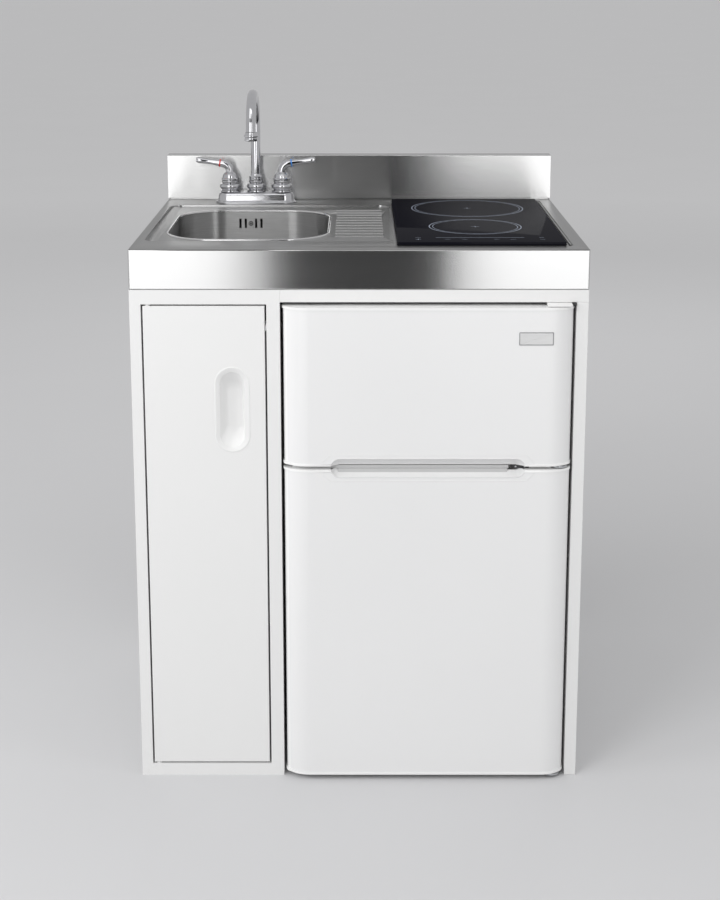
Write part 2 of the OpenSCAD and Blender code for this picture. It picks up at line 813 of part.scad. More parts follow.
// Bell over the valve stem, an elbow outwards and a tapered lever; side is -1 left, 1 right
module handle(side) {
    z1 = lever_z - elbow_r;
    translate([tap_x + side * tap_span / 2, tap_y, 0]) {
        post(0, 0, tap_top + 2, hub_top + 4, stem_r);
        rotate_extrude() polygon([
            [0, hub_top + apart], [17, hub_top + apart], [17.5, hub_top + 3], [15, hub_top + 5],
            [14.5, hub_top + 9], [13, hub_top + 11.5], [11, hub_top + 13], [neck_r, z1 + 2], [0, z1 + 2]
        ]);
        rotate([0, 0, side > 0 ? 0 : 180]) {
            translate([elbow_r, 0, z1]) rotate([90, 0, 0]) rotate([0, 0, 98])
                rotate_extrude(angle = 82) translate([elbow_r, 0]) circle(neck_r - 0.5);
            translate([elbow_r - 2, 0, lever_z - 0.5]) rotate([0, 82, 0])
                cylinder(h = lever_l - elbow_r - 3, r1 = neck_r - 0.8, r2 = 5);
            translate([lever_l - 6, 0, lever_z + 6.6]) sphere(6);
        }
    }
}

module hot_handle() placed() color("silver") difference() {
    handle(-1);
    index_ring_cut(-1);
}

module cold_handle() placed() color("silver") difference() {
    handle(1);
    index_ring_cut(1);
}

// Coloured ring let into the lever, just past the elbow
module index_ring_cut(side) {
    translate([tap_x + side * tap_span / 2, tap_y, 0]) rotate([0, 0, side > 0 ? 0 : 180])
        translate([elbow_r + 4, 0, lever_z + 0.35]) rotate([0, 82, 0]) difference() {
            cylinder(h = 3, r = neck_r + 4);
            translate([0, 0, -1]) cylinder(h = 5, r = 5.5);
        }
}

module index_ring(side) {
    intersection() {
        index_ring_cut(side);
        translate([tap_x + side * tap_span / 2, tap_y, 0]) rotate([0, 0, side > 0 ? 0 : 180])
            translate([elbow_r + 2, 0, lever_z + 0.1]) rotate([0, 82, 0])
                cylinder(h = 7, r = neck_r - 0.4);
    }
}

module index_ring_hot() placed() color("red") index_ring(-1);

module index_ring_cold() placed() color("dodgerblue") index_ring(1);

/* Hob */

module hob_glass() placed() color("black")
    tall(glass_z, glass_z + hob_t) round_plan(hob_x0, hob_x1, hob_y, hob_y1, 3);

module hob_seal() placed() color("dimgray") difference() {
    slab(hob_x0 + 1, hob_x1 - 1, hob_y + 1, hob_y1 - 1, hob_zone_z, glass_z);
    slab(hob_x0 + hob_margin, hob_x1 - hob_margin, hob_y + hob_margin, hob_y1 - hob_margin,
        hob_zone_z - deep, glass_z + deep);
}

// Steel box under the glass, open at the top, with a round inlet under the fan
module hob_casing() placed() color("gray") difference() {
    slab(hob_x0 + hob_margin + 1, hob_x1 - hob_margin - 1, hob_y + hob_margin + 1,
        hob_y1 - hob_margin - 1, box_z, glass_z);
    slab(hob_x0 + hob_margin + 2, hob_x1 - hob_margin - 2, hob_y + hob_margin + 2,
        hob_y1 - hob_margin - 2, box_z + 1, glass_z + deep);
    post(fan_x, fan_y, box_z - deep, box_z + deep, fan_r);
    for (i = [0:7])
        slab(vent_x + i * vent_step, vent_x + i * vent_step + vent_w, vent_y, vent_y + vent_l, box_z - deep,
            box_z + deep);
}

module coil_tray() placed() color("lightgray")
    slab(hob_x0 + hob_margin + 2, hob_x1 - hob_margin - 2, hob_y + hob_margin + 2,
        hob_y1 - hob_margin - 2, coil_z - 1.5, coil_z);

module induction_coils() placed() color("peru") {
    tube(ring_x, ring_y_back, coil_z, coil_z + 5, ring_r_back - 10, 22);
    tube(ring_x, ring_y_front, coil_z, coil_z + 5, ring_r_front - 8, 18);
}

// Circuit board on four posts, with a finned heat sink
module control_board() placed() color("darkgreen") {
    top = board_z + board_pcb;
    slab(board_x - board_w / 2, board_x + board_w / 2, board_y, board_y + board_l, board_z, top);
    for (s = [-1, 1], y = [board_y + board_edge, board_y + board_l - board_edge])
        post(board_x + s * (board_w / 2 - board_edge), y, box_z + 1, board_z, board_post);
    for (i = [-3:3])
        slab(board_x + i * fin_step - fin_w / 2, board_x + i * fin_step + fin_w / 2,
            board_y + board_l / 2, board_y + board_l / 2 + sink_l, top, top + sink_h);
}

module fan_frame() placed() color("dimgray") difference() {
    slab(fan_x - 40, fan_x + 40, fan_y - 40, fan_y + 40, box_z + 1, box_z + 1 + fan_h);
    difference() {
        post(fan_x, fan_y, box_z - deep, box_z + fan_h + 2 * deep, fan_r + 3);
        post(fan_x, fan_y, box_z + 1, box_z + 5, 14);
        for (a = [0:120:240]) translate([fan_x, fan_y, 0]) rotate([0, 0, a])
            slab(0, fan_r + 4, -3, 3, box_z + 1, box_z + 4);
    }
    post(fan_x, fan_y, box_z - deep, box_z + 2 * fan_h, fan_shaft + pin_play);
}

// Hub, shaft and seven blades
module fan_rotor() placed() color("black") translate([fan_x, fan_y, 0]) {
    post(0, 0, box_z + 2, box_z + 10, fan_shaft);
    post(0, 0, box_z + 5 + apart, box_z + fan_h, 15);
    for (i = [0:6])
        rotate([0, 0, i * 360 / 7]) translate([14, 0, box_z + fan_h / 2 + 3]) rotate([38, 0, 0])
            translate([0, -1, -9]) cube([fan_r - 14, 2, 18]);
}

/* Fridge-freezer casing */

// The two compartments, grown outwards and reaching the given front plane
module rooms(grow, front) {
    slab(in_x0 - grow, in_x1 + grow, front, in_y1 + grow, zr_z0 - grow, zr_z1 + grow);
    difference() {
        slab(in_x0 - grow, in_x1 + grow, front, in_y1 + grow, fr_z0 - grow, fr_z1 + grow);
        slab(in_x0 - grow - deep, in_x1 + grow + deep, hump_y + grow, in_y1 + grow + deep,
            fr_z0 - grow - deep, hump_z - grow);
    }
}

module fridge_casing() placed() color("white") difference() {
    slab(case_x0, case_x1, case_y0, case_y1, case_z0, case_z1);
    difference() {
        slab(case_x0 + steel_t, case_x1 - steel_t, case_y0 - deep, case_y1 - steel_t, case_z0 + steel_t,
            case_z1 - steel_t);
        slab(case_x0, case_x1, niche_y - steel_t, case_y1, case_z0, niche_z + steel_t);
    }
    slab(case_x0 + steel_t, case_x1 - steel_t, niche_y, case_y1 + deep, case_z0 - deep, niche_z);
}

module fridge_insulation() placed() color("khaki") difference() {
    slab(case_x0 + steel_t, case_x1 - steel_t, case_y0 + liner_t, case_y1 - steel_t, case_z0 + steel_t,
        case_z1 - steel_t);
    rooms(liner_t, case_y0 - deep);
    slab(case_x0, case_x1, niche_y - steel_t, case_y1, case_z0, niche_z + steel_t);
}

// Both compartments in one moulding, with ledges for the shelves
module fridge_liner() placed() color("white") {
    difference() {
        union() {
            rooms(liner_t, case_y0);
            slab(case_x0 + steel_t, case_x1 - steel_t, case_y0, case_y0 + liner_t, case_z0 + steel_t,
                case_z1 - steel_t);
        }
        rooms(0, case_y0 - deep);
    }
    for (z = [shelf_z, cover_z]) {
        slab(in_x0, in_x0 + ledge, crisp_y0 - 14, hump_y - 2, z - ledge, z);
        slab(in_x1 - ledge, in_x1, crisp_y0 - 14, hump_y - 2, z - ledge, z);
    }
}

module glass_shelves() placed() color("lightcyan") {
    slab(in_x0, in_x1, crisp_y0 - 20, in_y1 - 4, shelf_z, shelf_z + glass_t);
    slab(in_x0, in_x1, crisp_y0 - 20, hump_y - 2, cover_z, cover_z + glass_t);
}

// Wires front to back on two cross bars that rest in the liner's walls
module freezer_rack() placed() color("white") {
    rack_z = (zr_z0 + zr_z1) / 2;
    for (y = [case_y0 + 70, in_y1 - 30])
        translate([in_x0, y, rack_z]) rotate([0, 90, 0]) cylinder(h = in_x1 - in_x0, r = 2.5);
    for (i = [0:12])
        translate([in_x0 + 20 + i * (in_x1 - in_x0 - 40) / 12, in_y1 - 12, rack_z + 3.5])
            rotate([90, 0, 0]) cylinder(h = in_y1 - case_y0 - 70, r = 1.6);
}

module thermostat_housing() placed() color("white") difference() {
    slab(in_x1 - house_w, in_x1, house_y, house_y + house_l, dial_z - house_h / 2, dial_z + house_h / 2);
    facing(house_y - deep, house_y + 20) translate([dial_x, dial_z]) circle(dial_shaft + pin_play);
}

module thermostat_dial() placed() color("white") {
    facing(house_y - apart - dial_t, house_y - apart) difference() {
        translate([dial_x, dial_z]) circle(dial_r);
        for (a = [0:30:330])
            translate([dial_x, dial_z]) rotate([0, 0, a]) translate([dial_r + 1, 0]) circle(2.5);
    }
    facing(house_y - 2, house_y + 14) translate([dial_x, dial_z]) circle(dial_shaft);
}

// Open drawer with a turned-down front lip
module crisper_drawer() placed() color("lightcyan") difference() {
    slab(in_x0 + 6, in_x1 - 6, crisp_y0, crisp_y1, fr_z0 + apart, fr_z0 + apart + crisp_h);
    slab(in_x0 + 6 + crisp_t, in_x1 - 6 - crisp_t, crisp_y0 + crisp_t, crisp_y1 - crisp_t,
        fr_z0 + apart + crisp_t, fr_z0 + crisp_h + deep);
    slab(pocket_x - grip_w / 2, pocket_x + grip_w / 2, crisp_y0 - deep, crisp_y0 + crisp_t + deep,
        fr_z0 + crisp_h - grip_h, fr_z0 + crisp_h + deep);
}

// Brackets: top, between the doors and below, each with its pins
module hinge_pin(z0, z1) {
    post(hinge_x, hinge_y, z0, z1, hinge_r);
}

// Flat plate with a round end about the pin, reaching left by a length
module hinge_plate(left, back, z) {
    slab(hinge_x - left, hinge_x + plate_r, hinge_y, back, z, z + plate_t);
    post(hinge_x, hinge_y, z, z + plate_t, plate_r);
}

module fridge_hinges() placed() color("gray") {
    mid_z = split_z - plate_t / 2;
    hinge_plate(plate_r, case_y0 + plate_deep, zd_z1 + plate_gap);
    slab(hinge_x - plate_r, hinge_x + plate_r, case_y0 + 6, case_y0 + plate_deep, case_z1,
        zd_z1 + plate_gap);
    hinge_pin(zd_z1 - hinge_bore + 2, zd_z1 + 2);
    hinge_plate(plate_long, case_y0, mid_z);
    slab(hinge_x - plate_long, hinge_x + plate_r, case_y0 - 2, case_y0, split_z - 9, split_z + 9);
    hinge_pin(fd_z1 - hinge_bore + 2, zd_z0 + hinge_bore - 2);
    hinge_plate(plate_r, case_y0 + plate_deep, fd_z0 - 2 - plate_t);
    slab(hinge_x - plate_r, hinge_x + plate_r, case_y0 + 4, case_y0 + plate_deep, fd_z0 - 2, case_z0);
    hinge_pin(fd_z0 - 3, fd_z0 + hinge_bore - 2);
}

module fridge_feet() placed() color("black")
    for (x = [case_x0 + foot_in, case_x1 - foot_in_r], y = [case_y0 + foot_in, niche_y - foot_in]) {
        post(x, y, 0, foot_h, foot_r);
        post(x, y, foot_h, case_z0, foot_r / 3);
    }

// Sealed shell on a cross plate, with its terminal box
module compressor() placed() color("black") {
    slab(case_x0 + steel_t, case_x1 - steel_t, niche_y, case_y1, case_z0, case_z0 + 2);
    translate([comp_x, comp_y, case_z0]) rotate_extrude() polygon(concat(
        [[0, 2], [comp_r * 0.7, 2], [comp_r * 0.7, comp_h / 9.5]],
        [for (a = [-50:10:90]) [comp_r * cos(a), comp_h * (0.54 + (a < 0 ? 0.53 : 0.46) * sin(a))]]
    ));
    slab(comp_x - comp_r + 8 - comp_box_w, comp_x - comp_r + 8, comp_y - comp_box_l / 2,
        comp_y + comp_box_l / 2, case_z0 + comp_h / 3, case_z0 + comp_h / 3 + comp_box_h);
}

// Serpentine tube behind the casing, on stand-off straps
module condenser_coil() placed() color("black") {
    cy = case_y1 + coil_back;
    x0 = case_x0 + coil_in;
    x1 = case_x1 - coil_in;
    for (i = [0:coil_n - 1])
        translate([x0, cy, coil_z0 + i * coil_step]) rotate([0, 90, 0]) cylinder(h = x1 - x0, r = coil_r);
    for (i = [0:coil_n - 2])
        translate([i % 2 == 0 ? x1 : x0, cy, coil_z0 + (i + 0.5) * coil_step])
            rotate([90, 0, 0]) rotate([0, 0, i % 2 == 0 ? -90 : 90])
                rotate_extrude(angle = 180) translate([coil_step / 2, 0]) circle(coil_r);
    for (x = [x0 + strap_in, x1 - strap_in - strap_w])
        slab(x, x + strap_w, case_y1, cy - coil_r + 0.5, coil_z0 - strap_end,
            coil_z0 + (coil_n - 1) * coil_step + strap_end);
}

/* Fridge-freezer doors */

// Plan of a door: upright sides, quarter-ellipse edges and a flat middle, drawn in by an inset
function edge_points(x, dir, inset) = [
    for (i = [0:10]) let (a = i * 9)
        [x + dir * (inset + (edge_w - inset) * (1 - cos(a))),
         side_y - (side_y - fd_y0 - inset) * sin(a)]
];

module door_plan(inset, back) {
    polygon(concat(
        [[fd_x0 + inset, back]],
        edge_points(fd_x0, 1, inset),
        [for (i = [10:-1:0]) edge_points(fd_x1, -1, inset)[i]],
        [[fd_x1 - inset, back]]
    ));
}

// Round-ended outline of the pocket between the doors, seen from the front
module pocket_outline(grow) {
    hull() for (s = [-1, 1])
        translate([pocket_x + s * (pocket_w - pocket_h) / 2, split_z])
            circle(pocket_h / 2 + grow, $fn = 32);
}

module pocket_cut(grow) {
    facing(fd_y0 - deep, pocket_y + grow) pocket_outline(grow);
}

module door_skin(z0, z1) {
    difference() {
        tall(z0 + cap_h, z1 - cap_h) door_plan(flare, fd_y1 - pan_t);
        tall(z0, z1) door_plan(flare + steel_t, fd_y1);
        pocket_cut(0);
    }
}

// End caps, foam and inner pan: the caps' rims show past the skin
module door_inner(z0, z1, room_z0, room_z1) {
    difference() {
        union() {
            tall(z0, z0 + cap_h) door_plan(0, fd_y1 - pan_t);
            tall(z1 - cap_h, z1) door_plan(0, fd_y1 - pan_t);
            tall(z0 + cap_h, z1 - cap_h) door_plan(flare + steel_t, fd_y1 - pan_t);
            tall(z0, z1) translate([fd_x0, fd_y1 - pan_t]) square([fd_x1 - fd_x0, pan_t]);
            difference() {
                slab(in_x0 + dyke_in, dyke_x1, fd_y1, case_y0 + dyke_h - 10, room_z0 + 8, room_z1 - 8);
                slab(in_x0 + dyke_in + dyke_w, dyke_x1 - dyke_w, fd_y1, case_y0 + dyke_h,
                    room_z0 + 8 + dyke_w, room_z1 - 8 - dyke_w);
            }
        }
        pocket_cut(0);
        hinge_bores(z0, z1);
    }
}

module hinge_bores(z0, z1) {
    post(hinge_x, hinge_y, z1 - hinge_bore, z1 + deep, hinge_r + pin_play);
    post(hinge_x, hinge_y, z0 - deep, z0 + hinge_bore, hinge_r + pin_play);
}

module gasket(z0, z1) {
    difference() {
        slab(gasket_x0, gasket_x1, fd_y1, case_y0 - apart, z0, z1);
        slab(gasket_x0 + gasket_w, gasket_x1 - gasket_w, fd_y1 - deep, case_y0 + deep, z0 + gasket_w,
            z1 - gasket_w);
    }
}

module freezer_door_skin() placed() color("white") door_skin(zd_z0, zd_z1);

module freezer_door_inner() placed() color("whitesmoke") door_inner(zd_z0, zd_z1, zr_z0, zr_z1);

module freezer_gasket() placed() color("gainsboro") gasket(split_z + 14, case_z1 - 11);

module badge_plate() placed() color("silver")
    slab(badge_x - badge_w / 2, badge_x + badge_w / 2, fd_y0, fd_y0 + flare, badge_z - badge_h / 2,
        badge_z + badge_h / 2);

module fridge_door_skin() placed() color("white") door_skin(fd_z0, fd_z1);

module fridge_door_inner() placed() color("whitesmoke") door_inner(fd_z0, fd_z1, fr_z0, fr_z1);

// Open-topped bins that snap in between the lower door's ribs
module door_bins() placed() color("whitesmoke")
    for (z = bin_at) difference() {
        slab(in_x0 + dyke_in + dyke_w, dyke_x1 - dyke_w, fd_y1, bin_y1, z, z + bin_h);
        slab(in_x0 + dyke_in + dyke_w + bin_t, dyke_x1 - dyke_w - bin_t, fd_y1 + bin_t, bin_y1 - bin_t,
            z + bin_t, z + bin_h + deep);
    }

module fridge_gasket() placed() color("gainsboro") gasket(case_z0 + 8, split_z - 14);

cabinet_face_frame();
left_side_panel();
right_side_panel();
partition_panel();
cabinet_floor();
cabinet_back();
front_top_rail();
rear_top_rail();
door_pivots();
magnetic_catch();
cabinet_door_skin();
cabinet_door_core();
pull_cup();
catch_strike();
worktop();
backsplash();
sink_bowl();
overflow_pipe();
strainer_body();
waste_nuts();
p_trap();
strainer_basket();
tap_base();
tap_hubs();
tap_shanks();
tap_locknuts();
spout();
aerator();
hot_handle();
cold_handle();
index_ring_hot();
index_ring_cold();
hob_glass();
hob_seal();
hob_casing();
induction_coils();
coil_tray();
control_board();
fan_frame();
fan_rotor();
fridge_casing();
fridge_insulation();
fridge_liner();
fridge_hinges();
fridge_feet();
compressor();
condenser_coil();
glass_shelves();
freezer_rack();
thermostat_housing();
thermostat_dial();
crisper_drawer();
freezer_door_skin();
freezer_door_inner();
freezer_gasket();
badge_plate();
fridge_door_skin();
fridge_door_inner();
fridge_gasket();
door_bins();
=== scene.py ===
import math

import bmesh
import bpy
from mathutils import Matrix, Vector


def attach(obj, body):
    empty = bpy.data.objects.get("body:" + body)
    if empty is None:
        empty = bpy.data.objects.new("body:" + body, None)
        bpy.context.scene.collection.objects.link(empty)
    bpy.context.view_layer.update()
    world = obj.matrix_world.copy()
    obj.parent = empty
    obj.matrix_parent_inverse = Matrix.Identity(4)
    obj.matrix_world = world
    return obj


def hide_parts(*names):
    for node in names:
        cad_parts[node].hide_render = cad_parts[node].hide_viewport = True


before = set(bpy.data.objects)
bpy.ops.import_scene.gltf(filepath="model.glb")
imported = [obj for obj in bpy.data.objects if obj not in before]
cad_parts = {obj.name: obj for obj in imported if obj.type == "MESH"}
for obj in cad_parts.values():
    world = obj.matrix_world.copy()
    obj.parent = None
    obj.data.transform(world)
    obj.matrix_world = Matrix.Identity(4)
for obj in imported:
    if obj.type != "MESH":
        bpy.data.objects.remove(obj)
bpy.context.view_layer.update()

# Camera. It stands about two and a half metres in front of the unit, half a metre
# above the worktop, and looks down at it.
bpy.ops.object.camera_add(location=(0.0017, -2.896, 1.4), rotation=(math.radians(78.43), 0, 0))
camera = bpy.context.object
camera.data.lens = 64.18
camera.data.shift_y = -0.175
bpy.context.scene.camera = camera
bpy.context.scene.view_settings.view_transform = "Standard"

# Studio. A wide matt floor in pale grey, painted darker near the unit and paler far
# off as painted light that evens out the lamps' fall-off, an even pale surround, soft
# lamps all round, and in front two tall panels and a tall black block that only
# polished surfaces show.


class Value:
    """A shader socket on which Python's operators build Math nodes."""

    def __init__(self, finish, socket):
        self.finish, self.socket = finish, socket

    def __add__(self, other):
        return self.finish.maths("ADD", self, other)

    def __radd__(self, other):
        return self.finish.maths("ADD", other, self)

    def __sub__(self, other):
        return self.finish.maths("SUBTRACT", self, other)

    def __rsub__(self, other):
        return self.finish.maths("SUBTRACT", other, self)

    def __mul__(self, other):
        return self.finish.maths("MULTIPLY", self, other)

    def __rmul__(self, other):
        return self.finish.maths("MULTIPLY", other, self)

    def __lt__(self, other):
        return self.finish.maths("LESS_THAN", self, other)

    def __gt__(self, other):
        return self.finish.maths("GREATER_THAN", self, other)

    def __abs__(self):
        return self.finish.maths("ABSOLUTE", self)


class Finish:
    """A material, or a world; make() adds any node, settings first and then sockets."""

    def __init__(self, name, constants, world=None):
        self.material = world or bpy.data.materials.new(name)
        self.material.use_nodes = True
        self.tree = self.material.node_tree
        self.shader = self.tree.nodes["Background" if world else "Principled BSDF"]
        self.put(self.shader, constants)
        self.object = None

    def put(self, node, sockets):
        for key, value in sockets.items():
            if isinstance(value, Value):
                self.tree.links.new(value.socket, node.inputs[key])
            else:
                node.inputs[key].default_value = value

    def make(self, kind, settings=None, sockets=None, output=0):
        node = self.tree.nodes.new(kind)
        for key, value in (settings or {}).items():
            setattr(node, key, value)
        self.put(node, sockets or {})
        return Value(self, node.outputs[output])

    def maths(self, operation, *values):
        return self.make("ShaderNodeMath", {"operation": operation}, dict(enumerate(values)))

    def place(self, scale=(1, 1, 1)):
        """The place on the object in metres, stretched by a scale."""
        if self.object is None:
            self.object = self.make("ShaderNodeTexCoord", output="Object")
        return self.make("ShaderNodeMapping", None, {"Vector": self.object, "Scale": scale})

    def noise(self, scale, detail=2.0):
        """Noise with as many grains a metre on each axis as scale says."""
        return self.make("ShaderNodeTexNoise", None,
                         {"Vector": self.place(scale), "Scale": 1.0, "Detail": detail})

    def span(self, value, low, high, to_low=0.0, to_high=1.0):
        """A value between low and high, spread from to_low to to_high."""
        return self.make("ShaderNodeMapRange", {"clamp": True}, {
            "Value": value, "From Min": low, "From Max": high, "To Min": to_low, "To Max": to_high})

    def mix(self, factor, first, second):
        """The first colour where the factor is 0, the second where it is 1."""
        return self.make("ShaderNodeMix", {"data_type": "RGBA"},
                         {0: factor, 6: (*first, 1), 7: (*second, 1)}, 2)

    def bump(self, height, distance, strength=1.0):
        """Raises the surface by up to a distance in metres."""
        normal = self.make("ShaderNodeBump", None,
                           {"Height": height, "Distance": distance, "Strength": strength})
        self.put(self.shader, {"Normal": normal})


front = -296  # mm from the middle of the frame to the cabinet's front


def in_mm(spot):
    """A place in metres back in mm, with y the depth behind the cabinet's front."""
    return Vector((spot.x * 1000, spot.y * 1000 - front, spot.z * 1000))


def clear():
    bpy.ops.object.select_all(action="DESELECT")


def edit():
    bpy.ops.object.mode_set(mode="EDIT")


def done():
    bpy.ops.object.mode_set(mode="OBJECT")
    return bpy.context.object


def pick(kind, test):
    """In edit mode, selects the VERTs or the EDGEs whose middle in mm passes a test."""
    piece = bpy.context.object
    form = bmesh.from_edit_mesh(piece.data)
    bpy.ops.mesh.select_mode(type=kind)
    bpy.ops.mesh.select_all(action="DESELECT")
    for item in form.verts if kind == "VERT" else form.edges:
        ends = [item] if kind == "VERT" else item.verts
        middle = sum((end.co for end in ends), Vector()) / len(ends)
        item.select_set(test(in_mm(middle)))
    form.select_flush_mode()
    bmesh.update_edit_mesh(piece.data)


floor_finish = Finish("studio_floor", {"Roughness": 0.85, "Specular IOR Level": 0.2})
floor_cloud = floor_finish.noise((1.5, 1.5, 1.5), 3.0)
floor_far = floor_finish.make("ShaderNodeVectorMath", {"operation": "LENGTH"}, {0: floor_finish.place()}, 1)
# Painted light: paler with distance from the unit, evening out the lamps' fall-off; a faint random cloud
# too.
floor_tone_and_painted_light = 0.08 * floor_cloud + 0.92 * floor_finish.span(floor_far, 0.6, 7.0)
floor_finish.put(floor_finish.shader, {
    "Base Color": floor_finish.mix(floor_tone_and_painted_light, (0.60, 0.60, 0.61), (0.86, 0.86, 0.87))})
clear()
bpy.ops.mesh.primitive_plane_add(size=200)
floor = bpy.context.object
floor.name = "studio_floor"
floor.data.materials.append(floor_finish.material)

surround = Finish("surround", {"Strength": 1.0}, bpy.data.worlds.new("surround"))
bpy.context.scene.world = surround.material
camera_ray, glossy_ray, passing_ray = (
    surround.make("ShaderNodeLightPath", output=ray)
    for ray in ("Is Camera Ray", "Is Glossy Ray", "Is Transmission Ray"))
seen = surround.maths("MAXIMUM", camera_ray, surround.maths("MAXIMUM", glossy_ray, passing_ray))
surround.put(surround.shader, {"Color": surround.mix(seen, (0.58, 0.58, 0.58), (0.50, 0.50, 0.505))})

# The black card is a tall block between the lamps, wider away from the unit. Only
# polished surfaces show it; the camera, soft light and shadows pass it by.
card_x, card_y, card_z = 0.005, -2.2, 0.005
card_near, card_far, card_long, card_high = 0.4, 0.55, 2.2, 2.6
bpy.ops.mesh.primitive_plane_add(size=1, location=(card_x, card_y, card_z))
card = bpy.context.object
card.name = "black_card"
bpy.ops.object.transform_apply(location=True, rotation=True, scale=True)
edit()
bpy.ops.mesh.select_all(action="SELECT")
bpy.ops.transform.resize(value=(card_near, card_long, 1), center_override=(card_x, card_y, card_z))
pick("VERT", lambda p: p.y < 1000 * card_y)
bpy.ops.transform.resize(value=(card_far / card_near, 1, 1), center_override=(card_x, card_y, card_z))
bpy.ops.mesh.select_all(action="SELECT")
bpy.ops.mesh.extrude_region_move(TRANSFORM_OT_translate={"value": (0, 0, card_high)})
done()
card_finish = Finish("black_card", {"Roughness": 0.9, "Specular IOR Level": 0})
card_finish.put(card_finish.shader, {
    "Base Color": card_finish.mix(card_finish.noise((3, 3, 3)),
                                  (0.008, 0.008, 0.008), (0.012, 0.012, 0.012))})
card.data.materials.append(card_finish.material)
card.visible_camera = card.visible_diffuse = card.visible_shadow = card.visible_transmission = False

for name, place, aim, breadth, height, power in (
        ("panel_left", (-1.05, -3.2, 1.3), (-0.5, 0, 1.0), 1.3, 2.5, 19),
        ("panel_right", (1.01, -3.2, 1.3), (0.5, 0, 1.0), 1.3, 2.5, 19),
        ("lamp_front", (-1.9, -2.7, 2.5), (-0.1, -0.2, 0.6), 1.6, 1.6, 40),
        ("lamp_left", (-3.0, -1.2, 2.0), (0, 0, 0.6), 1.2, 1.8, 24),
        ("lamp_right", (2.8, -1.6, 2.2), (0, 0, 0.6), 1.6, 1.6, 16),
        ("lamp_over", (-0.3, -1.7, 3.3), (0, 0, 0.6), 2.6, 1.6, 14),
        ("lamp_back", (0.4, 3.4, 2.6), (0, 0, 0.4), 2.6, 2.0, 13)):
    bpy.ops.object.light_add(type="AREA", location=place)
    lamp = bpy.context.object
    lamp.name = name
    lamp.visible_camera = False
    lamp.visible_diffuse = not name.startswith("panel")
    lamp.visible_glossy = name.startswith("panel") or name == "lamp_over"
    lamp.data.shape = "RECTANGLE"
    lamp.data.size, lamp.data.size_y = breadth, height
    lamp.data.energy = power
    lamp.rotation_euler = (Vector(aim) - Vector(place)).to_track_quat("-Z", "Y").to_euler()

# Cabinet boards. Chipboard with a white melamine face, screwed together: the front
# frame, the sides, the partition, the floor, the back and the rails.


def coated(name, colour, peel, roughness):
    """A coat of one colour with a faint unevenness in tone and gloss."""
    finish = Finish(name, {"Specular IOR Level": 0.45})
    cloud = finish.noise((7, 7, 7), 3.0)
    grain = finish.noise((620, 620, 620), 2.0)
    low = tuple(0.985 * part for part in colour)
    finish.put(finish.shader, {
        "Base Color": finish.mix(cloud, low, colour),
        "Roughness": finish.span(0.3 * cloud + grain, 0.4, 0.9, roughness - 0.03, roughness + 0.03)})
    finish.bump(grain, peel)
    return finish


def dress(finish, edge, *names):
    """Gives CAD nodes a finish and, with live modifiers, edges rounded by some mm."""
    for name in names:
        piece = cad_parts[name]
        if not piece.material_slots:
            piece.data.materials.append(finish.material)
        for slot in piece.material_slots:
            slot.material = finish.material
        if edge:
            weld = piece.modifiers.new("weld", "WELD")
            weld.merge_threshold = 0.00001
            rounding = piece.modifiers.new("edges", "BEVEL")
            rounding.width = edge / 1000
            rounding.segments = 2
            rounding.limit_method = "ANGLE"
            rounding.angle_limit = math.radians(40)


melamine = coated("melamine", (0.83, 0.83, 0.825), 0.00004, 0.42)
carcass = coated("carcass_face", (0.74, 0.74, 0.73), 0.00006, 0.6)
dress(melamine, 0.8, "cabinet_face_frame", "left_side_panel", "right_side_panel", "partition_panel",
      "cabinet_floor", "front_top_rail")
dress(carcass, 0.5, "cabinet_back", "rear_top_rail")

# Cabinet door. A steel sheet folded round a board core, sprayed white. It turns on
# two pins and is held by a magnetic catch.


def fit(piece, name, body, slot, finish, *nodes, angle=32):
    """Fixes a finished piece: its place goes into its mesh, and it rides on its body."""
    clear()
    piece.select_set(True)
    bpy.context.view_layer.objects.active = piece
    bpy.ops.object.transform_apply(location=True, rotation=True, scale=True)
    bpy.ops.object.shade_smooth_by_angle(angle=math.radians(angle))
    piece.name = name
    piece.data.materials.clear()
    piece.data.materials.append(finish.material)
    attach(piece, body)
    if nodes:
        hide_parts(*nodes)
    return piece


def recast(node):
    """A merged copy of a CAD node's mesh, open in edit mode for shaping."""
    clear()
    piece = bpy.data.objects.new(node + "_copy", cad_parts[node].data.copy())
    bpy.context.collection.objects.link(piece)
    piece.select_set(True)
    bpy.context.view_layer.objects.active = piece
    edit()
    bpy.ops.mesh.select_all(action="SELECT")
    bpy.ops.mesh.remove_doubles(threshold=0.000002)
    bpy.ops.mesh.dissolve_limited(angle_limit=math.radians(0.5))


def round_edges(width, steps, test):
    """In edit mode, rounds by some mm the sharp edges whose two ends pass a test."""
    piece = bpy.context.object
    form = bmesh.from_edit_mesh(piece.data)
    bpy.ops.mesh.select_mode(type="EDGE")
    bpy.ops.mesh.select_all(action="DESELECT")
    for edge in form.edges:
        sharp = len(edge.link_faces) == 2 and edge.calc_face_angle(0) > math.radians(35)
        edge.select_set(sharp and all(test(in_mm(vert.co)) for vert in edge.verts))
    form.select_flush_mode()
    bmesh.update_edit_mesh(piece.data)
    bpy.ops.mesh.bevel(offset=width / 1000, offset_type="OFFSET", segments=steps, affect="EDGES",
                       clamp_overlap=True)


def hold_flat(piece, test):
    """Keeps flat faces flat in reflections at the corners that pass a test."""
    clear()
    piece.select_set(True)
    bpy.context.view_layer.objects.active = piece
    group = piece.vertex_groups.new(name="flat")
    held = [vert.index for vert in piece.data.vertices if test(in_mm(vert.co))]
    group.add(held, 1, "REPLACE")
    hold = piece.modifiers.new("hold", "WEIGHTED_NORMAL")
    hold.keep_sharp, hold.vertex_group = True, group.name
    bpy.ops.object.modifier_apply(modifier=hold.name)
    piece.vertex_groups.clear()


door_x, door_z = (-359.3, -156.8), (25, 844.5)
near = 0.1  # mm: two places this close count as one
spray = coated("sprayed_steel", (0.835, 0.835, 0.83), 0.00003, 0.36)


def on_side(p):
    return min(abs(p.x - x) for x in door_x) < near


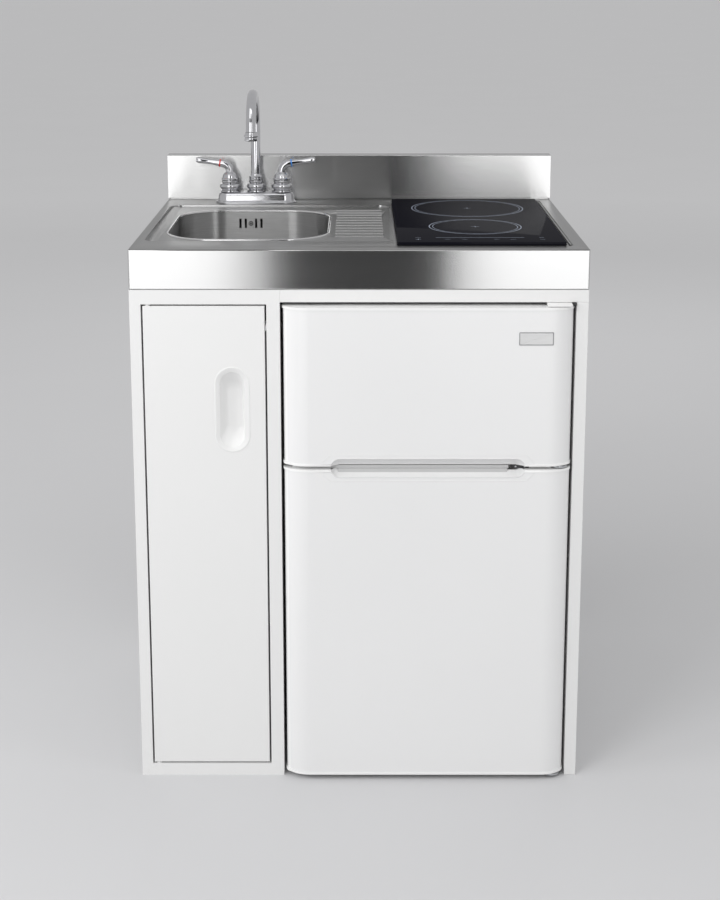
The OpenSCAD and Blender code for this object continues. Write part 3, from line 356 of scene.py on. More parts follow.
def on_end(p):
    return min(abs(p.z - z) for z in door_z) < near


recast("cabinet_door_skin")
round_edges(1.6, 4, lambda p: p.y < near and (on_side(p) or on_end(p)))
round_edges(1.2, 3, lambda p: p.y > 1.5 and on_side(p) and on_end(p))
sheet = fit(done(), "door_sheet", "cabinet_door", "door_paint", spray, "cabinet_door_skin")
hold_flat(sheet, lambda p: True)
dress(carcass, 0, "cabinet_door_core")

# Door pull. A moulded cup with round ends, pressed into the sheet from the front, with
# a thin flat rim that stands just proud of it.
pull_x, pull_z, pull_w, pull_l, pull_rim = -212.55, 666.5, 41.5, 131, 9


def mm(x, y, z):
    """A place in metres from mm, with y the depth behind the cabinet's front."""
    return Vector((x / 1000, (y + front) / 1000, z / 1000))


def capsule(spot, width, length, along, facing=math.radians(90)):
    """A filled outline with round ends along X or Z, in edit mode; it faces the front or up."""
    clear()
    bpy.ops.mesh.primitive_circle_add(vertices=64, radius=width / 2000, fill_type="NGON",
                                      location=spot, rotation=(facing, 0, 0))
    bpy.ops.object.transform_apply(location=True, rotation=True, scale=True)
    edit()
    axis = {"x": 0, "z": 2}[along]
    middle = in_mm(spot)[axis]
    for side in (-1, 1):
        pick("VERT", lambda p: side * (p[axis] - middle) > 0.01)
        shift = Vector()
        shift[axis] = side * (length - width) / 2000
        bpy.ops.transform.translate(value=shift)
    bpy.ops.mesh.select_all(action="SELECT")


def sink(*steps):
    """Insets the selected face step by step, each by a width and a depth in mm."""
    for width, depth in steps:
        bpy.ops.mesh.inset(thickness=width / 1000, depth=depth / 1000, use_even_offset=True)


white_plastic = coated("white_plastic", (0.83, 0.83, 0.825), 0.00002, 0.34)
capsule(mm(pull_x, 0, pull_z), pull_w + 2 * pull_rim, pull_l + 2 * pull_rim, "z")
sink((0.3, 0.3), (0.4, 0.15), (2.2, 0), (0.5, -0.25), (4.8, 0), (0.3, -0.2), (0.3, -0.9))
floor_w, floor_l, cup_depth, aside, cup_steps = 24, 67, 12, 4.25, 8
narrower, shorter = 1 - floor_w / pull_w, 1 - floor_l / pull_l
wide, long, deep = 1.0, 1.0, 0.0
for step in range(1, cup_steps + 1):
    way = step / cup_steps
    next_wide, next_long = 1 - narrower * way, 1 - shorter * way
    next_deep = cup_depth * math.sin(math.radians(90 * way)) ** 1.2
    bpy.ops.mesh.extrude_region_move(
        TRANSFORM_OT_translate={"value": (0, (next_deep - deep) / 1000, 0)})
    bpy.ops.transform.resize(value=(next_wide / wide, 1, next_long / long),
                             center_override=mm(pull_x + aside / narrower, next_deep, pull_z))
    wide, long, deep = next_wide, next_long, next_deep
pull = done()
wall = pull.modifiers.new("wall", "SOLIDIFY")
wall.thickness, wall.offset = 0.0008, -1
bpy.ops.object.modifier_apply(modifier="wall")
fit(pull, "pull_cup_moulding", "cabinet_door", "white_plastic", white_plastic, "pull_cup", angle=40)

# Pivot pins, catch and strike. Bright zinc-plated pins in white plastic bushes, and a
# dark magnet in a white housing, screwed to the partition.
zinc = Finish("zinc_plate", {"Metallic": 1.0})
zinc_cloud = zinc.noise((90, 90, 90), 4.0)
zinc.put(zinc.shader, {
    "Base Color": zinc.mix(zinc_cloud, (0.50, 0.51, 0.53), (0.66, 0.67, 0.68)),
    "Roughness": zinc.span(zinc_cloud, 0.3, 0.7, 0.28, 0.42)})
zinc.bump(zinc.noise((900, 900, 900)), 0.00003)
dress(zinc, 0, "door_pivots")
dress(zinc, 0.3, "catch_strike")
catch = Finish("catch_housing", {})
catch_y = catch.make("ShaderNodeSeparateXYZ", None, {0: catch.place()}, 1)
magnet_end = mm(0, 20, 0).y
catch.put(catch.shader, {
    "Base Color": catch.mix(catch_y < magnet_end, (0.80, 0.80, 0.795), (0.05, 0.05, 0.05)),
    "Roughness": catch.span(catch.noise((300, 300, 300)), 0.3, 0.7, 0.4, 0.5)})
dress(catch, 0.8, "magnetic_catch")
pin_x, pin_y = -351.3, 5
for name, z in (("pivot_bush_upper", 846.1), ("pivot_bush_lower", 23.4)):
    clear()
    bpy.ops.mesh.primitive_cylinder_add(vertices=32, radius=0.0044, depth=0.0022,
                                        location=mm(pin_x, pin_y, z))
    edit()
    bpy.ops.mesh.select_all(action="SELECT")
    bpy.ops.mesh.bevel(offset=0.0004, segments=2, affect="EDGES")
    fit(done(), name, "cabinet", "white_plastic", white_plastic)

# Worktop. One stainless steel sheet, brushed from side to side: folded down at the
# edges, with a sunk zone for the sink, rolled drainer ridges and a shallow hob seat.


def brushed(name, dark, light, low, high, upright=False):
    """Metal brushed along X, rough from low to high; upright faces smear more."""
    finish = Finish(name, {"Metallic": 1.0, "Anisotropic": 0.95 if upright else 0,
                           "Anisotropic Rotation": 0.25 if upright else 0})
    streak = finish.noise((2.2, 700, 700), 2.0)
    wide = finish.noise((0.8, 60, 60), 2.0)
    smear = finish.noise((9, 9, 9), 3.0)
    finish.put(finish.shader, {
        "Base Color": finish.mix(0.8 * streak + 0.2 * wide, dark, light),
        "Roughness": finish.span(0.8 * streak + 0.2 * smear, 0.35, 0.65, low, high)})
    finish.bump(streak, 0.000006, 0.05 if upright else 0.6)
    return finish


def chain(points):
    """A string of edges through points, open in edit mode."""
    clear()
    bpy.ops.mesh.primitive_plane_add(size=0.001, location=points[0])
    bpy.ops.object.transform_apply(location=True, rotation=True, scale=True)
    edit()
    bpy.ops.mesh.select_mode(type="VERT")
    bpy.ops.mesh.select_all(action="SELECT")
    bpy.ops.mesh.merge(type="CENTER")
    for start, end in zip(points, points[1:]):
        bpy.ops.mesh.extrude_region_move(TRANSFORM_OT_translate={"value": end - start})


def wire(points, radius, closed=False, sides=2):
    """A round bar of some mm radius along points."""
    chain(points)
    if closed:
        ends = [in_mm(points[0]), in_mm(points[-1])]
        pick("VERT", lambda p: min((p - end).length for end in ends) < 0.001)
        bpy.ops.mesh.edge_face_add()
    done()
    bpy.ops.object.convert(target="CURVE")
    line = bpy.context.object.data
    line.bevel_depth = radius / 1000
    line.bevel_resolution = sides
    line.use_fill_caps = True
    bpy.ops.object.convert(target="MESH")
    return bpy.context.object


# Painted shade: the top gets a darker copy of the steel than its upright faces get.
steel = brushed("brushed_steel_top_painted_shade", (0.36, 0.36, 0.36), (0.46, 0.46, 0.455), 0.30, 0.38)
right, back, top, under = 381, 610, 940, 872


def at_side(p):
    return abs(abs(p.x) - right) < near


def at_front_or_back(p):
    return p.y < near or p.y > back - near


recast("worktop")
round_edges(2.4, 4, lambda p: p.z > top - near and (at_side(p) or at_front_or_back(p)))
round_edges(2.2, 4, lambda p: at_side(p) and at_front_or_back(p))
round_edges(1.0, 3, lambda p: p.z > top - near and -370 < p.x < 366 and 15 < p.y < 580)
worktop = fit(done(), "worktop_sheet", "cabinet", "stainless", steel, "worktop")
hold_flat(worktop, lambda p: at_side(p) or p.y < near or p.y > back - 2)
bead = wire([mm(354.5, y, 938.6) for y in (46, 50, 290, 530, 534)], 1.9, sides=5)
fit(bead, "hob_side_bead", "cabinet", "stainless", steel)
upright_steel = brushed("brushed_steel_upright", (0.56, 0.56, 0.56), (0.66, 0.66, 0.655),
                        0.24, 0.26, upright=True)
# The upright faces take the lighter copy, so the top's darker colour is painted shade.
worktop.data.materials.append(upright_steel.material)
for face in worktop.data.polygons:
    if abs(face.normal.z) < 0.3 and face.center.z > (under - 1) / 1000:
        face.material_index = 1

# Backsplash. A folded box of the same sheet along the wall, on a narrow set-back
# foot, with its top edge turned.
splash_front, splash_low, splash_high = 577, 942.5, 1028
recast("backsplash")
round_edges(2.0, 4, lambda p: p.z > splash_high - near and p.y < splash_front + near)
round_edges(1.6, 3, lambda p: p.y < splash_front + near and at_side(p))
round_edges(1.2, 3, lambda p: p.z < splash_low + near and p.y < splash_front + near)
backsplash = fit(done(), "backsplash_fold", "cabinet", "stainless", upright_steel, "backsplash")
hold_flat(backsplash, lambda p: p.y < splash_front + near)

# Sink bowl. Drawn from thinner sheet, polished inside, welded under the worktop's
# hole, whose edge is rolled over it as a bead; the bead's steel is painted far lighter
# than the sheet's, a painted highlight.
bowl_x0, bowl_x1, bowl_y0, bowl_y1, bowl_r, zone_z, rim_r = -335, -55, 110, 440, 82, 937, 2.6


def round_plan(x0, x1, y0, y1, radius, z):
    """Points of a rectangle with round corners, in plan."""
    points, steps = [], 16
    for cx, cy, start in ((x1 - radius, y1 - radius, 0), (x0 + radius, y1 - radius, 90),
                          (x0 + radius, y0 + radius, 180), (x1 - radius, y0 + radius, 270)):
        for step in range(steps + 1):
            turn = math.radians(start + 90 * step / steps)
            points.append(mm(cx + radius * math.cos(turn), cy + radius * math.sin(turn), z))
    return points


polished = Finish("polished_steel", {"Metallic": 1.0, "Anisotropic": 0.96, "Anisotropic Rotation": 0.25})
polished_haze = polished.noise((12, 12, 12), 3.0)
polished_line = polished.noise((20, 20, 800), 2.0)
polished.put(polished.shader, {
    "Base Color": polished.mix(0.15 * polished_haze + 0.85 * polished_line,
                               (0.40, 0.40, 0.40), (0.60, 0.60, 0.595)),
    "Roughness": polished.span(polished_line, 0.3, 0.7, 0.30, 0.38)})
polished.bump(polished_line, 0.000008)
recast("sink_bowl")
fit(done(), "bowl", "cabinet", "bowl_steel", polished, "sink_bowl")
roll = 1.5
rim = wire(round_plan(bowl_x0 - roll, bowl_x1 + roll, bowl_y0 - roll, bowl_y1 + roll, bowl_r + roll,
                      zone_z - 0.6), rim_r, closed=True, sides=3)
# Painted highlight: the rolled bead's steel is far lighter than the worktop's own.
bright_steel_painted_highlight = brushed("bright_steel_painted_highlight", (0.74, 0.74, 0.74), (0.84, 0.84, 0.835), 0.12, 0.2)
fit(rim, "bowl_rim", "cabinet", "bowl_steel", bright_steel_painted_highlight)

# Waste. A steel strainer cup with a lift-out basket, white plastic nuts, tailpiece and
# trap, and an overflow housing behind the slots, held by one screw. The housing is near
# black, a painted shade that makes the slots look dark.
grey_plastic = coated("grey_plastic", (0.42, 0.43, 0.44), 0.00004, 0.45)
# Painted shade: the overflow housing is near black so the slots before it read dark.
dark_plastic_painted_shade = coated("dark_plastic_painted_shade", (0.06, 0.06, 0.06), 0.00004, 0.6)
for node, name, body, slot, finish in (
        ("strainer_body", "strainer_cup", "cabinet", "bowl_steel", polished),
        ("strainer_basket", "basket", "strainer_basket", "bowl_steel", polished),
        ("waste_nuts", "slip_nuts", "cabinet", "white_plastic", white_plastic),
        ("p_trap", "trap", "cabinet", "white_plastic", white_plastic),
        ("overflow_pipe", "overflow_housing", "cabinet", "grey_plastic", dark_plastic_painted_shade)):
    recast(node)
    fit(done(), name, body, slot, finish, node)
capsule(mm(-207.3, 439.4, 913), 9, 9.2, "x")
sink((0.4, 1.0), (0.7, 0.7), (0.9, 0.3), (0.5, -0.1), (0.3, -0.7))
fit(done(), "overflow_screw", "cabinet", "bowl_steel", polished)

# Tap. Chrome-plated brass on a two-hole base: three bell-shaped hubs, two levers that
# turn a quarter, and a swinging spout with a screwed-on nozzle. Brass shanks and white
# plastic nuts hold it under the worktop.
tap_x, tap_y, tap_span = -203, 539, 101.6


def plated(name, low, high):
    """Chrome plate, with a faint film that changes its gloss."""
    finish = Finish(name, {"Metallic": 1.0})
    film = finish.noise((60, 60, 60), 4.0)
    finish.put(finish.shader, {"Base Color": finish.mix(film, (0.64, 0.64, 0.66), (0.74, 0.74, 0.76)),
                               "Roughness": finish.span(film, 0.3, 0.7, low, high)})
    return finish


chrome = plated("chrome_plate", 0.05, 0.10)
satin_chrome = plated("chrome_plate_base", 0.16, 0.24)


def lathe(points, x, y):
    """A solid turned about an upright axis from radius and height pairs in mm."""
    chain([mm(x + radius, y, z) for radius, z in points])
    bpy.ops.mesh.select_all(action="SELECT")
    bpy.ops.mesh.spin(steps=48, angle=math.radians(360), center=mm(x, y, 0), axis=(0, 0, 1))
    bpy.ops.mesh.select_all(action="SELECT")
    bpy.ops.mesh.remove_doubles(threshold=0.000002)
    bpy.ops.mesh.normals_make_consistent(inside=False)
    return done()


base_w, base_l, base_z = 51, 158, 940.2
capsule(mm(tap_x, tap_y, base_z), base_w, base_l, "x", facing=0)
bpy.ops.mesh.extrude_region_move(TRANSFORM_OT_translate={"value": (0, 0, 0.0016)})
sink((0.6, 0.9), (1.2, 0.8), (1.6, 1.0), (0.7, 1.4), (0.4, 2.6), (0.4, 3.0), (0.6, 3.0), (1.0, 2.6),
     (1.6, 2.0), (2.2, 1.4), (3.0, 0.9), (4.0, 0.3))
fit(done(), "tap_base_casting", "cabinet", "chrome", satin_chrome, "tap_base")


def hub_profile(radius, bore):
    """A foot flange, a hollow, a round swelling and a collar."""
    bell = [(bore, 961.5), (radius - 1.5, 961.5), (radius - 1, 962.3), (radius - 1.2, 963.4),
            (radius - 2.6, 964.2), (radius - 4.2, 964.8), (radius - 4.6, 965.8)]
    bell += [(radius - 6.5 + 6.3 * math.cos(math.radians(turn)), 972 + 5.6 * math.sin(math.radians(turn)))
             for turn in range(-60, 61, 12)]
    bell += [(radius - 5.6, 978.2), (radius - 5.9, 979.2), (radius - 4.6, 979.8), (radius - 4.1, 980.6),
             (radius - 4.1, 982.6), (radius - 4.7, 983.5), (radius - 6, 984), (bore, 984), (bore, 961.5)]
    return bell


for name, x, radius, bore, nodes in (("hub_hot", tap_x - tap_span / 2, 21, 6.1, ()),
                                     ("hub_cold", tap_x + tap_span / 2, 21, 6.1, ()),
                                     ("hub_spout", tap_x, 18.5, 9.55, ("tap_hubs",))):
    hub = lathe(hub_profile(radius, bore), x, tap_y)
    fit(hub, name, "cabinet", "chrome", chrome, *nodes)

bend_r, bend_z = 65, 1091
bend = [mm(tap_x, tap_y, z) for z in (985, 1000, 1030, 1060, 1080, bend_z)]
for turn in range(6, 181, 6):
    out, rise = bend_r * math.cos(math.radians(turn)), bend_r * math.sin(math.radians(turn))
    bend.append(mm(tap_x, tap_y - bend_r + out, bend_z + rise))
spout = wire(bend, 9.5, sides=7)
collar = lathe([(8.6, 984.4), (13, 984.4), (13.5, 985), (13.5, 987.6), (12.9, 988.2), (13.5, 988.8),
                (13.5, 991.4), (12.8, 992.2), (11, 993), (10.2, 995), (9.4, 996.5), (8.6, 996.5),
                (8.6, 984.4)], tap_x, tap_y)
fit(spout, "spout_tube", "spout", "chrome", chrome, "spout")
fit(collar, "spout_collar", "spout", "chrome", chrome)
nozzle_y = tap_y - 2 * bend_r
nozzle = lathe([(7.5, 1091), (10.8, 1091), (11.2, 1090), (11.2, 1087.4), (11.8, 1086.8), (13.3, 1085.8),
                (13.5, 1084.8), (13.5, 1083.2), (12.9, 1082.2), (11.7, 1081.6), (11.6, 1080.8), (12, 1080.2),
                (12, 1075.2), (11.4, 1074.2), (9.2, 1074), (9, 1075), (7.5, 1075.4), (7.5, 1091)],
               tap_x, nozzle_y)
fit(nozzle, "nozzle", "spout", "chrome", chrome, "aerator")
clear()
bpy.ops.mesh.primitive_circle_add(vertices=32, radius=0.009, fill_type="NGON",
                                  location=mm(tap_x, nozzle_y, 1075.2), rotation=(math.pi, 0, 0))
bpy.ops.object.transform_apply(location=True, rotation=True, scale=True)
edit()
bpy.ops.mesh.select_all(action="SELECT")
sink((0.8, 0.3), (0.8, -0.5), (1.2, 0.4), (1.2, -0.4), (1.2, 0.3))
fit(done(), "nozzle_gauze", "spout", "grey_plastic", grey_plastic)


def lever(side, body, ring_finish, ring_slot, node, ring_node):
    """A bell over the valve, a neck that bends outwards and a lever that thins, then swells."""
    x = tap_x + side * tap_span / 2
    bell = lathe([(0, 984.4), (16.8, 984.4), (17.4, 985.2), (17.4, 987), (16.4, 988), (15, 989), (14.7, 992),
                  (14, 994.4), (12.4, 996.4), (10.4, 998), (8.6, 1000), (0, 1000)], x, tap_y)
    fit(bell, body + "_bell", body, "chrome", chrome)
    path = [(0, 998), (0, 1002), (0.9, 1006.5), (3.2, 1010.6), (6.6, 1013.8), (10.5, 1015.6),
            (14, 1016.3), (20, 1017.2), (30, 1018.7), (40, 1020.1), (50, 1021.5), (57, 1022.5),
            (62, 1023.2), (66, 1023.8)]
    widths = ((0, 1.0), (14, 0.93), (20, 0.86), (32, 0.68), (44, 0.62), (54, 0.72), (61, 0.78), (66, 0.55))
    thick, neck_end, slack = 8, 6, 0.8
    wire([mm(x + side * out, tap_y, z) for out, z in path], thick, sides=5)
    edit()
    for place, (out, z) in enumerate(path):
        if out < neck_end:
            continue
        before, after = path[place - 1], path[min(place + 1, len(path) - 1)]
        along = Vector((side * (after[0] - before[0]), 0, after[1] - before[1])).normalized()
        here = Vector((x + side * out, tap_y, z))
        pick("VERT", lambda p: abs((p - here).dot(along)) < slack and (p - here).length < thick + 1.5)
        (start, low), (end, high) = next(
            pair for pair in zip(widths, widths[1:]) if out <= pair[1][0])
        amount = low + (high - low) * (out - start) / (end - start)
        bpy.ops.transform.resize(value=(amount, amount, amount), center_override=mm(*here))
    fit(done(), body + "_lever", body, "chrome", chrome, node)
    ring = lathe([(6.0, -1.3), (7.35, -1.3), (7.6, -1), (7.6, 1), (7.35, 1.3), (6.0, 1.3), (6.0, -1.3)],
                 0, -front)
    clear()
    ring.select_set(True)
    bpy.context.view_layer.objects.active = ring
    ring.rotation_euler = (0, math.radians(side * 81.5), 0)
    ring.location = mm(x + side * 19.5, tap_y, 1017.1)
    fit(ring, ring_node + "_band", body, ring_slot, ring_finish, ring_node)


ring_red = coated("ring_red", (0.62, 0.05, 0.045), 0.00001, 0.3)
ring_blue = coated("ring_blue", (0.05, 0.24, 0.66), 0.00001, 0.3)
lever(-1, "hot_handle", ring_red, "index_red", "hot_handle", "index_ring_hot")
lever(1, "cold_handle", ring_blue, "index_blue", "cold_handle", "index_ring_cold")
brass = Finish("brass_thread", {"Metallic": 1.0})
brass_turn = brass.noise((200, 200, 1600), 2.0)
brass.put(brass.shader, {"Base Color": brass.mix(brass_turn, (0.55, 0.38, 0.20), (0.72, 0.53, 0.30)),
                         "Roughness": brass.span(brass_turn, 0.3, 0.7, 0.25, 0.4)})
brass.bump(brass_turn, 0.0001)
dress(brass, 0, "tap_shanks")
dress(white_plastic, 0.8, "tap_locknuts")

# Hob. A black glass ceramic plate with ground edges on a rubber seal, over a casing with
# coils, a control board and a fan. Printed double rings mark its two zones, and dashes
# and a slide mark the touch controls.
glass = Finish("black_glass", {"Specular IOR Level": 0, "Coat Weight": 0.09, "Coat Roughness": 0.03})
glass_x = glass.make("ShaderNodeSeparateXYZ", None, {0: glass.place()}, 0)
glass_y = glass.make("ShaderNodeSeparateXYZ", None, {0: glass.place()}, 1)
glass_up = glass.make("ShaderNodeSeparateXYZ", None,
                      {0: glass.make("ShaderNodeNewGeometry", output="Normal")}, 2)


def ring_mark(x, y, radius, width):
    """1 on a thin printed circle, 0 elsewhere; sizes in mm."""
    centre = mm(x, y, 0)
    across = glass.maths("SQRT", (glass_x - centre.x) * (glass_x - centre.x)
                         + (glass_y - centre.y) * (glass_y - centre.y))
    return abs(across - radius / 1000) < width / 2000


def dash_mark(x, y, length, width):
    """1 on a small printed dash, 0 elsewhere; sizes in mm."""
    centre = mm(x, y, 0)
    return (abs(glass_x - centre.x) < length / 2000) * (abs(glass_y - centre.y) < width / 2000)


zone_x, key_y, slide_y, key_l = 205, 66, 84, 9
marks = dash_mark(zone_x, slide_y, 150, 1.2)
for y, radius in ((418, 105), (200, 81)):
    for mark in (ring_mark(zone_x, y, radius, 1.5), ring_mark(zone_x, y, radius - 6, 1.0),
                 dash_mark(zone_x, y, 14, 1), dash_mark(zone_x, y, 1, 14)):
        marks = glass.maths("MAXIMUM", marks, mark)
for x, y in ((100, key_y), (150, key_y), (178, key_y), (232, key_y), (260, key_y), (310, key_y),
             (310, slide_y), (100, slide_y)):
    marks = glass.maths("MAXIMUM", marks, dash_mark(x, y, key_l, 1))
marks = glass.maths("MAXIMUM", marks, dash_mark(100, key_y, 1, key_l)) * (glass_up > 0.9)
glass_dust = glass.noise((40, 40, 40), 4.0)
glass.put(glass.shader, {
    "Base Color": glass.mix(marks, (0.009, 0.009, 0.013), (0.34, 0.38, 0.46)),
    "Roughness": glass.span(glass_dust, 0.3, 0.8, 0.3, 0.5)})
glass_low, glass_high = 939.7, 945.7
recast("hob_glass")
round_edges(1.1, 3, lambda p: p.z > glass_high - near)
round_edges(0.8, 2, lambda p: p.z < glass_low + near)
fit(done(), "hob_plate", "cabinet", "black_glass", glass, "hob_glass")
rubber = coated("black_rubber", (0.035, 0.035, 0.035), 0.00005, 0.7)
dress(rubber, 0, "hob_seal")
dress(zinc, 0.4, "hob_casing")
aluminium = brushed("aluminium_sheet", (0.62, 0.62, 0.63), (0.74, 0.74, 0.75), 0.3, 0.45)
dress(aluminium, 0, "coil_tray")
copper = Finish("copper_winding", {"Metallic": 1.0})
copper_wire = copper.noise((900, 900, 300), 2.0)
copper.put(copper.shader, {"Base Color": copper.mix(copper_wire, (0.45, 0.18, 0.08), (0.80, 0.42, 0.25)),
                           "Roughness": copper.span(copper_wire, 0.3, 0.7, 0.3, 0.5)})
copper.bump(copper_wire, 0.0002)
dress(copper, 0, "induction_coils")
board_green = coated("circuit_board", (0.03, 0.16, 0.07), 0.0001, 0.4)
dress(board_green, 0, "control_board")
black_plastic = coated("black_plastic", (0.03, 0.03, 0.032), 0.00004, 0.45)
dress(black_plastic, 0, "fan_frame", "fan_rotor")

# Fridge-freezer cabinet. A pre-painted steel wrap over foam, with a one-piece white
# liner, glass shelves, a wire rack, a clear crisper and a thermostat. Behind it are a
# black condenser and a compressor, joined by copper pipes.
fridge_paint = coated("fridge_paint", (0.85, 0.85, 0.85), 0.00003, 0.3)
dress(fridge_paint, 0.5, "fridge_casing")
dress(white_plastic, 1.2, "fridge_liner")
foam = coated("foam", (0.78, 0.70, 0.48), 0.0002, 0.9)
dress(foam, 0, "fridge_insulation")
dress(white_plastic, 0.4, "freezer_rack")
clear_glass = Finish("shelf_glass", {"Roughness": 0.04, "Transmission Weight": 0.9, "IOR": 1.45})
shelf_tint = clear_glass.noise((30, 30, 30))
clear_glass.put(clear_glass.shader, {
    "Base Color": clear_glass.mix(shelf_tint, (0.80, 0.90, 0.87), (0.86, 0.94, 0.92))})
dress(clear_glass, 0.6, "glass_shelves")
clear_plastic = Finish("clear_plastic", {"Roughness": 0.08, "Transmission Weight": 0.75, "IOR": 1.49})
drawer_haze = clear_plastic.noise((50, 50, 50))
clear_plastic.put(clear_plastic.shader, {
    "Base Color": clear_plastic.mix(drawer_haze, (0.80, 0.86, 0.90), (0.88, 0.92, 0.95))})
dress(clear_plastic, 0.8, "crisper_drawer", "door_bins")
dress(white_plastic, 2.0, "thermostat_housing")
recast("thermostat_dial")
fit(done(), "dial", "thermostat_dial", "grey_plastic", grey_plastic, "thermostat_dial")
dress(zinc, 0.3, "fridge_hinges")
dress(black_plastic, 0.8, "fridge_feet")
black_enamel = coated("black_enamel", (0.025, 0.025, 0.027), 0.00006, 0.3)
for node, name in (("compressor", "compressor_shell"), ("condenser_coil", "condenser")):
    recast(node)
    fit(done(), name, "cabinet", "black_steel", black_enamel, node)
seam = lathe([(66, 104.4), (69.2, 104.8), (69.8, 105.6), (69.8, 108.6), (69.2, 109.4), (66, 109.8),
              (66, 104.4)], 175.8, 453)
fit(seam, "compressor_seam", "cabinet", "black_steel", black_enamel)


def bent(points):
    """Points of a pipe with its corners cut to smooth bends."""
    for turn in range(3):
        cut = [points[0]]
        for start, end in zip(points, points[1:]):
            cut += [start.lerp(end, 0.25), start.lerp(end, 0.75)]
        points = cut + [points[-1]]
    return points


pressure_pipe = [(140, 492, 132), (118, 522, 140), (104, 543, 150), (60, 549, 160), (-40, 549, 164),
                 (-98, 549, 176), (-104, 549, 225), (-102, 549, 262), (-84, 549, 265), (-71, 549, 265)]
suction_pipe = [(208, 492, 140), (224, 514, 144), (242, 522, 152), (244, 522, 185), (244, 522, 210)]
for name, pipe in (("pressure_pipe", pressure_pipe), ("suction_pipe", suction_pipe)):
    fit(wire(bent([mm(*spot) for spot in pipe]), 2.6, sides=3), name, "cabinet", "copper", copper)

# Fridge and freezer doors. A curved painted sheet between moulded end caps, filled with
# foam, with a magnetic gasket behind and one pocket shared by both doors' edges, its
# plastic greyer as painted shade. Small moulded blocks cover the hinges and the shelves'
# front edges, and grey strips fill the gaps between the doors as painted shade.
for node, name, body in (("freezer_door_skin", "freezer_door_sheet", "freezer_door"),
                         ("fridge_door_skin", "fridge_door_sheet", "fridge_door")):
    recast(node)
    fit(done(), name, body, "fridge_paint", fridge_paint, node, angle=20)
door_left, door_right, corner_w, corner_d, corner_h = -126.2, 357.8, 7, 34, 4.1
cap_plastic = coated("cap_plastic", (0.92, 0.92, 0.915), 0.00002, 0.3)
for node, name, body, low, high in (
        ("freezer_door_inner", "freezer_door_caps", "freezer_door", 573, 845),
        ("fridge_door_inner", "fridge_door_caps", "fridge_door", 10, 566.5)):
    recast(node)
    for side, corner, flare in ((-1, door_left, 2.2), (1, door_right, 0.5)):
        pick("VERT", lambda p: side * (p.x - corner) > -corner_w and p.y < corner_d
             and min(p.z - low, high - p.z) < corner_h)
        bpy.ops.transform.translate(value=(side * flare / 1000, 0, 0))
    fit(done(), name, body, "white_plastic", cap_plastic, node, angle=20)


def block(x0, x1, y0, y1, z0, z1, edge, name, body, slot, finish, *nodes):
    """A moulded block with rounded edges, from its limits in mm."""
    middle = mm((x0 + x1) / 2, (y0 + y1) / 2, (z0 + z1) / 2)
    clear()
    bpy.ops.mesh.primitive_cube_add(size=0.001, location=middle)
    bpy.ops.object.transform_apply(location=True, rotation=True, scale=True)
    edit()
    bpy.ops.mesh.select_all(action="SELECT")
    bpy.ops.transform.resize(value=(x1 - x0, y1 - y0, z1 - z0), center_override=middle)
    bpy.ops.mesh.bevel(offset=edge / 1000, segments=3, affect="EDGES")
    return fit(done(), name, body, slot, finish, *nodes, angle=40)


pocket_x, pocket_z, pocket_w, pocket_h, gap_low, gap_high = 115.8, 569.75, 327.5, 32, 566.5, 573
# Painted shade: the pocket's plastic is greyer than the doors, for the recess's shade.
pocket_plastic_painted_shade = coated("pocket_plastic_painted_shade", (0.79, 0.79, 0.79), 0.00002, 0.3)


def pocket_lip(name, body, side, steps):
    """Half of the pocket's moulded mouth: a thin rim, then a slope towards the gap."""
    capsule(mm(pocket_x, -17.3, pocket_z), pocket_h + 2, pocket_w + 2, "x")
    sink(*steps)
    bpy.ops.mesh.delete(type="FACE")
    bpy.ops.mesh.select_all(action="SELECT")
    bpy.ops.mesh.bisect(plane_co=mm(0, 0, gap_high if side > 0 else gap_low), plane_no=(0, 0, side),
                        clear_inner=True)
    lip = done()
    wall = lip.modifiers.new("wall", "SOLIDIFY")
    wall.thickness, wall.offset = 0.001, -1
    bpy.ops.object.modifier_apply(modifier="wall")
    fit(lip, name, body, "white_plastic", pocket_plastic_painted_shade, angle=50)


pocket_lip("pocket_lip_upper", "freezer_door", 1,
           ((0.2, 0.45), (0.6, 0.1), (0.3, -0.5), (0.7, -1.4), (1.8, -2.2), (3.2, -2.4), (3.6, -2.0),
            (1.4, -1.2), (1.2, -0.4)))
pocket_lip("pocket_lip_lower", "fridge_door", -1,
           ((0.2, 0.45), (0.6, 0.1), (0.3, -0.6), (0.5, -2.0), (1.2, -3.4), (2.2, -3.2), (2.8, -2.4),
            (1.6, -1.2), (1.3, -0.4)))
for name, body, edge, side in (("pocket_line_upper", "freezer_door", gap_high, 1),
                               ("pocket_line_lower", "fridge_door", gap_low, -1)):
    outline = [mm(x, -17.1, z) for x, z in (
        (293, edge + side * 0.6), (293, pocket_z + side * 11), (281, pocket_z + side * 22.5),
        (-49, pocket_z + side * 22.5), (-61, pocket_z + side * 11), (-61, edge + side * 0.6))]
    fit(wire(outline, 0.6), name, body, "fridge_paint", fridge_paint, angle=60)
# Painted shade: grey strips in the pocket and the door gap stand in for the gap's shade.
strip_plastic_painted_shade = coated("strip_plastic_painted_shade", (0.56, 0.56, 0.56), 0.00002, 0.4)
block(-36, 250, -7, 4, 556, 566.2, 0.8, "pocket_strip", "fridge_door", "grey_plastic", strip_plastic_painted_shade)
block(-112, 252, -6.8, 0, 566.6, 572.2, 0.5, "gap_strip", "fridge_door", "grey_plastic", strip_plastic_painted_shade)
block(287, 323.5, -9, 1.6, 568.2, 572.4, 0.5, "middle_hinge_cap", "cabinet", "white_plastic", white_plastic)
block(257, 286, -8, 24, 567, 572.5, 0.7, "middle_hinge_block", "cabinet", "black_plastic", black_plastic)
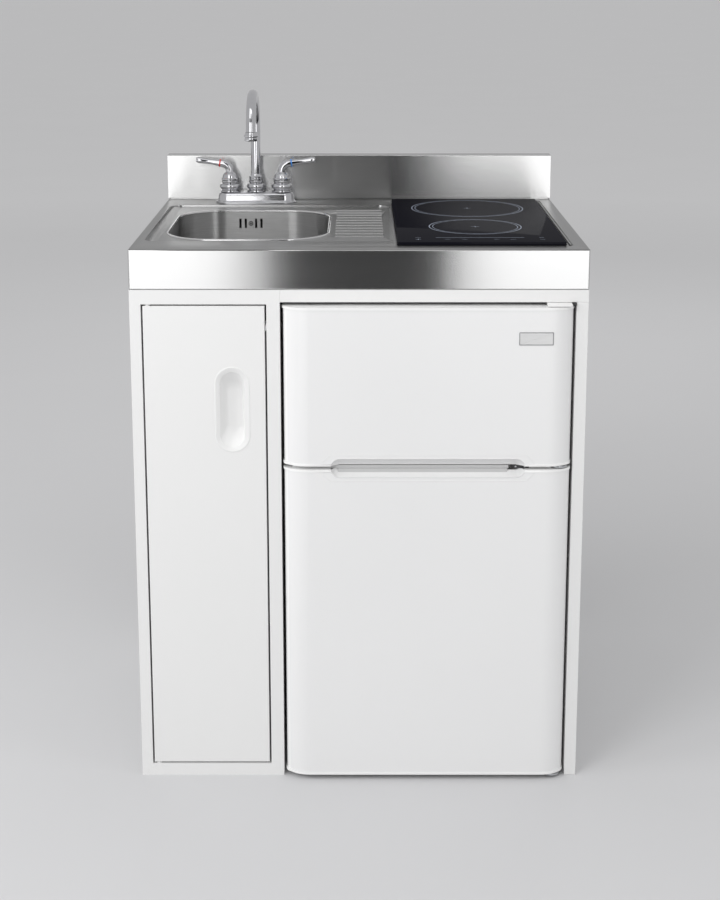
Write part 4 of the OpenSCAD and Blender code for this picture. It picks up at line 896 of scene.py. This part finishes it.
for name, x in (("middle_hinge_screw_left", 264), ("middle_hinge_screw_right", 279)):
    capsule(mm(x, -7.9, 569.8), 3.2, 3.4, "x")
    sink((0.2, 0.3), (0.4, 0.2), (0.4, -0.25))
    fit(done(), name, "cabinet", "steel_zinc", zinc)
block(312, 353, -13, 60, 845.7, 850.5, 1.2, "top_hinge_cover", "cabinet", "white_plastic", white_plastic)
block(354.5, 360.4, -4, 30, 845.9, 850.7, 0.6, "top_hinge_stop", "cabinet", "black_plastic", black_plastic)
for name, start, end in (("rail_pad_left", -53, 108), ("rail_pad_right", 112, 289)):
    block(start, end, 16, 26, 847.6, 850.9, 0.8, name, "cabinet", "grey_plastic", grey_plastic)
for name, z in (("shelf_trim_upper", 332), ("shelf_trim_lower", 214)):
    block(-84.6, 316.2, 122, 129, z - 4.5, z + 5, 1.2, name, "cabinet", "white_plastic", white_plastic)

gasket_rubber = coated("gasket_rubber", (0.62, 0.62, 0.62), 0.00006, 0.6)
dress(gasket_rubber, 1.5, "freezer_gasket", "fridge_gasket")

# Badge. A bare brushed plate whose small rim and bevel faces are coloured dark grey,
# stuck on the freezer door's right side.
badge_spot, badge_w, badge_h = mm(293.5, -17.25, 793), 57, 22
badge_metal = brushed("badge_metal", (0.66, 0.66, 0.66), (0.80, 0.80, 0.80), 0.4, 0.5)
badge_edge = coated("badge_edge", (0.26, 0.26, 0.27), 0.00001, 0.4)
clear()
bpy.ops.mesh.primitive_plane_add(size=0.001, location=badge_spot, rotation=(math.radians(90), 0, 0))
bpy.ops.object.transform_apply(location=True, rotation=True, scale=True)
edit()
bpy.ops.mesh.select_all(action="SELECT")
bpy.ops.transform.resize(value=(badge_w, 1, badge_h), center_override=badge_spot)
bpy.ops.mesh.bevel(offset=0.0012, segments=4, affect="VERTICES")
sink((0.02, 0.5), (0.2, 0.2), (0.9, 0), (0.25, -0.25))
plate = fit(done(), "badge", "freezer_door", "badge_metal", badge_metal, "badge_plate")
plate.data.materials.append(badge_edge.material)
for face in plate.data.polygons:
    if face.area < 0.0005:
        face.material_index = 1
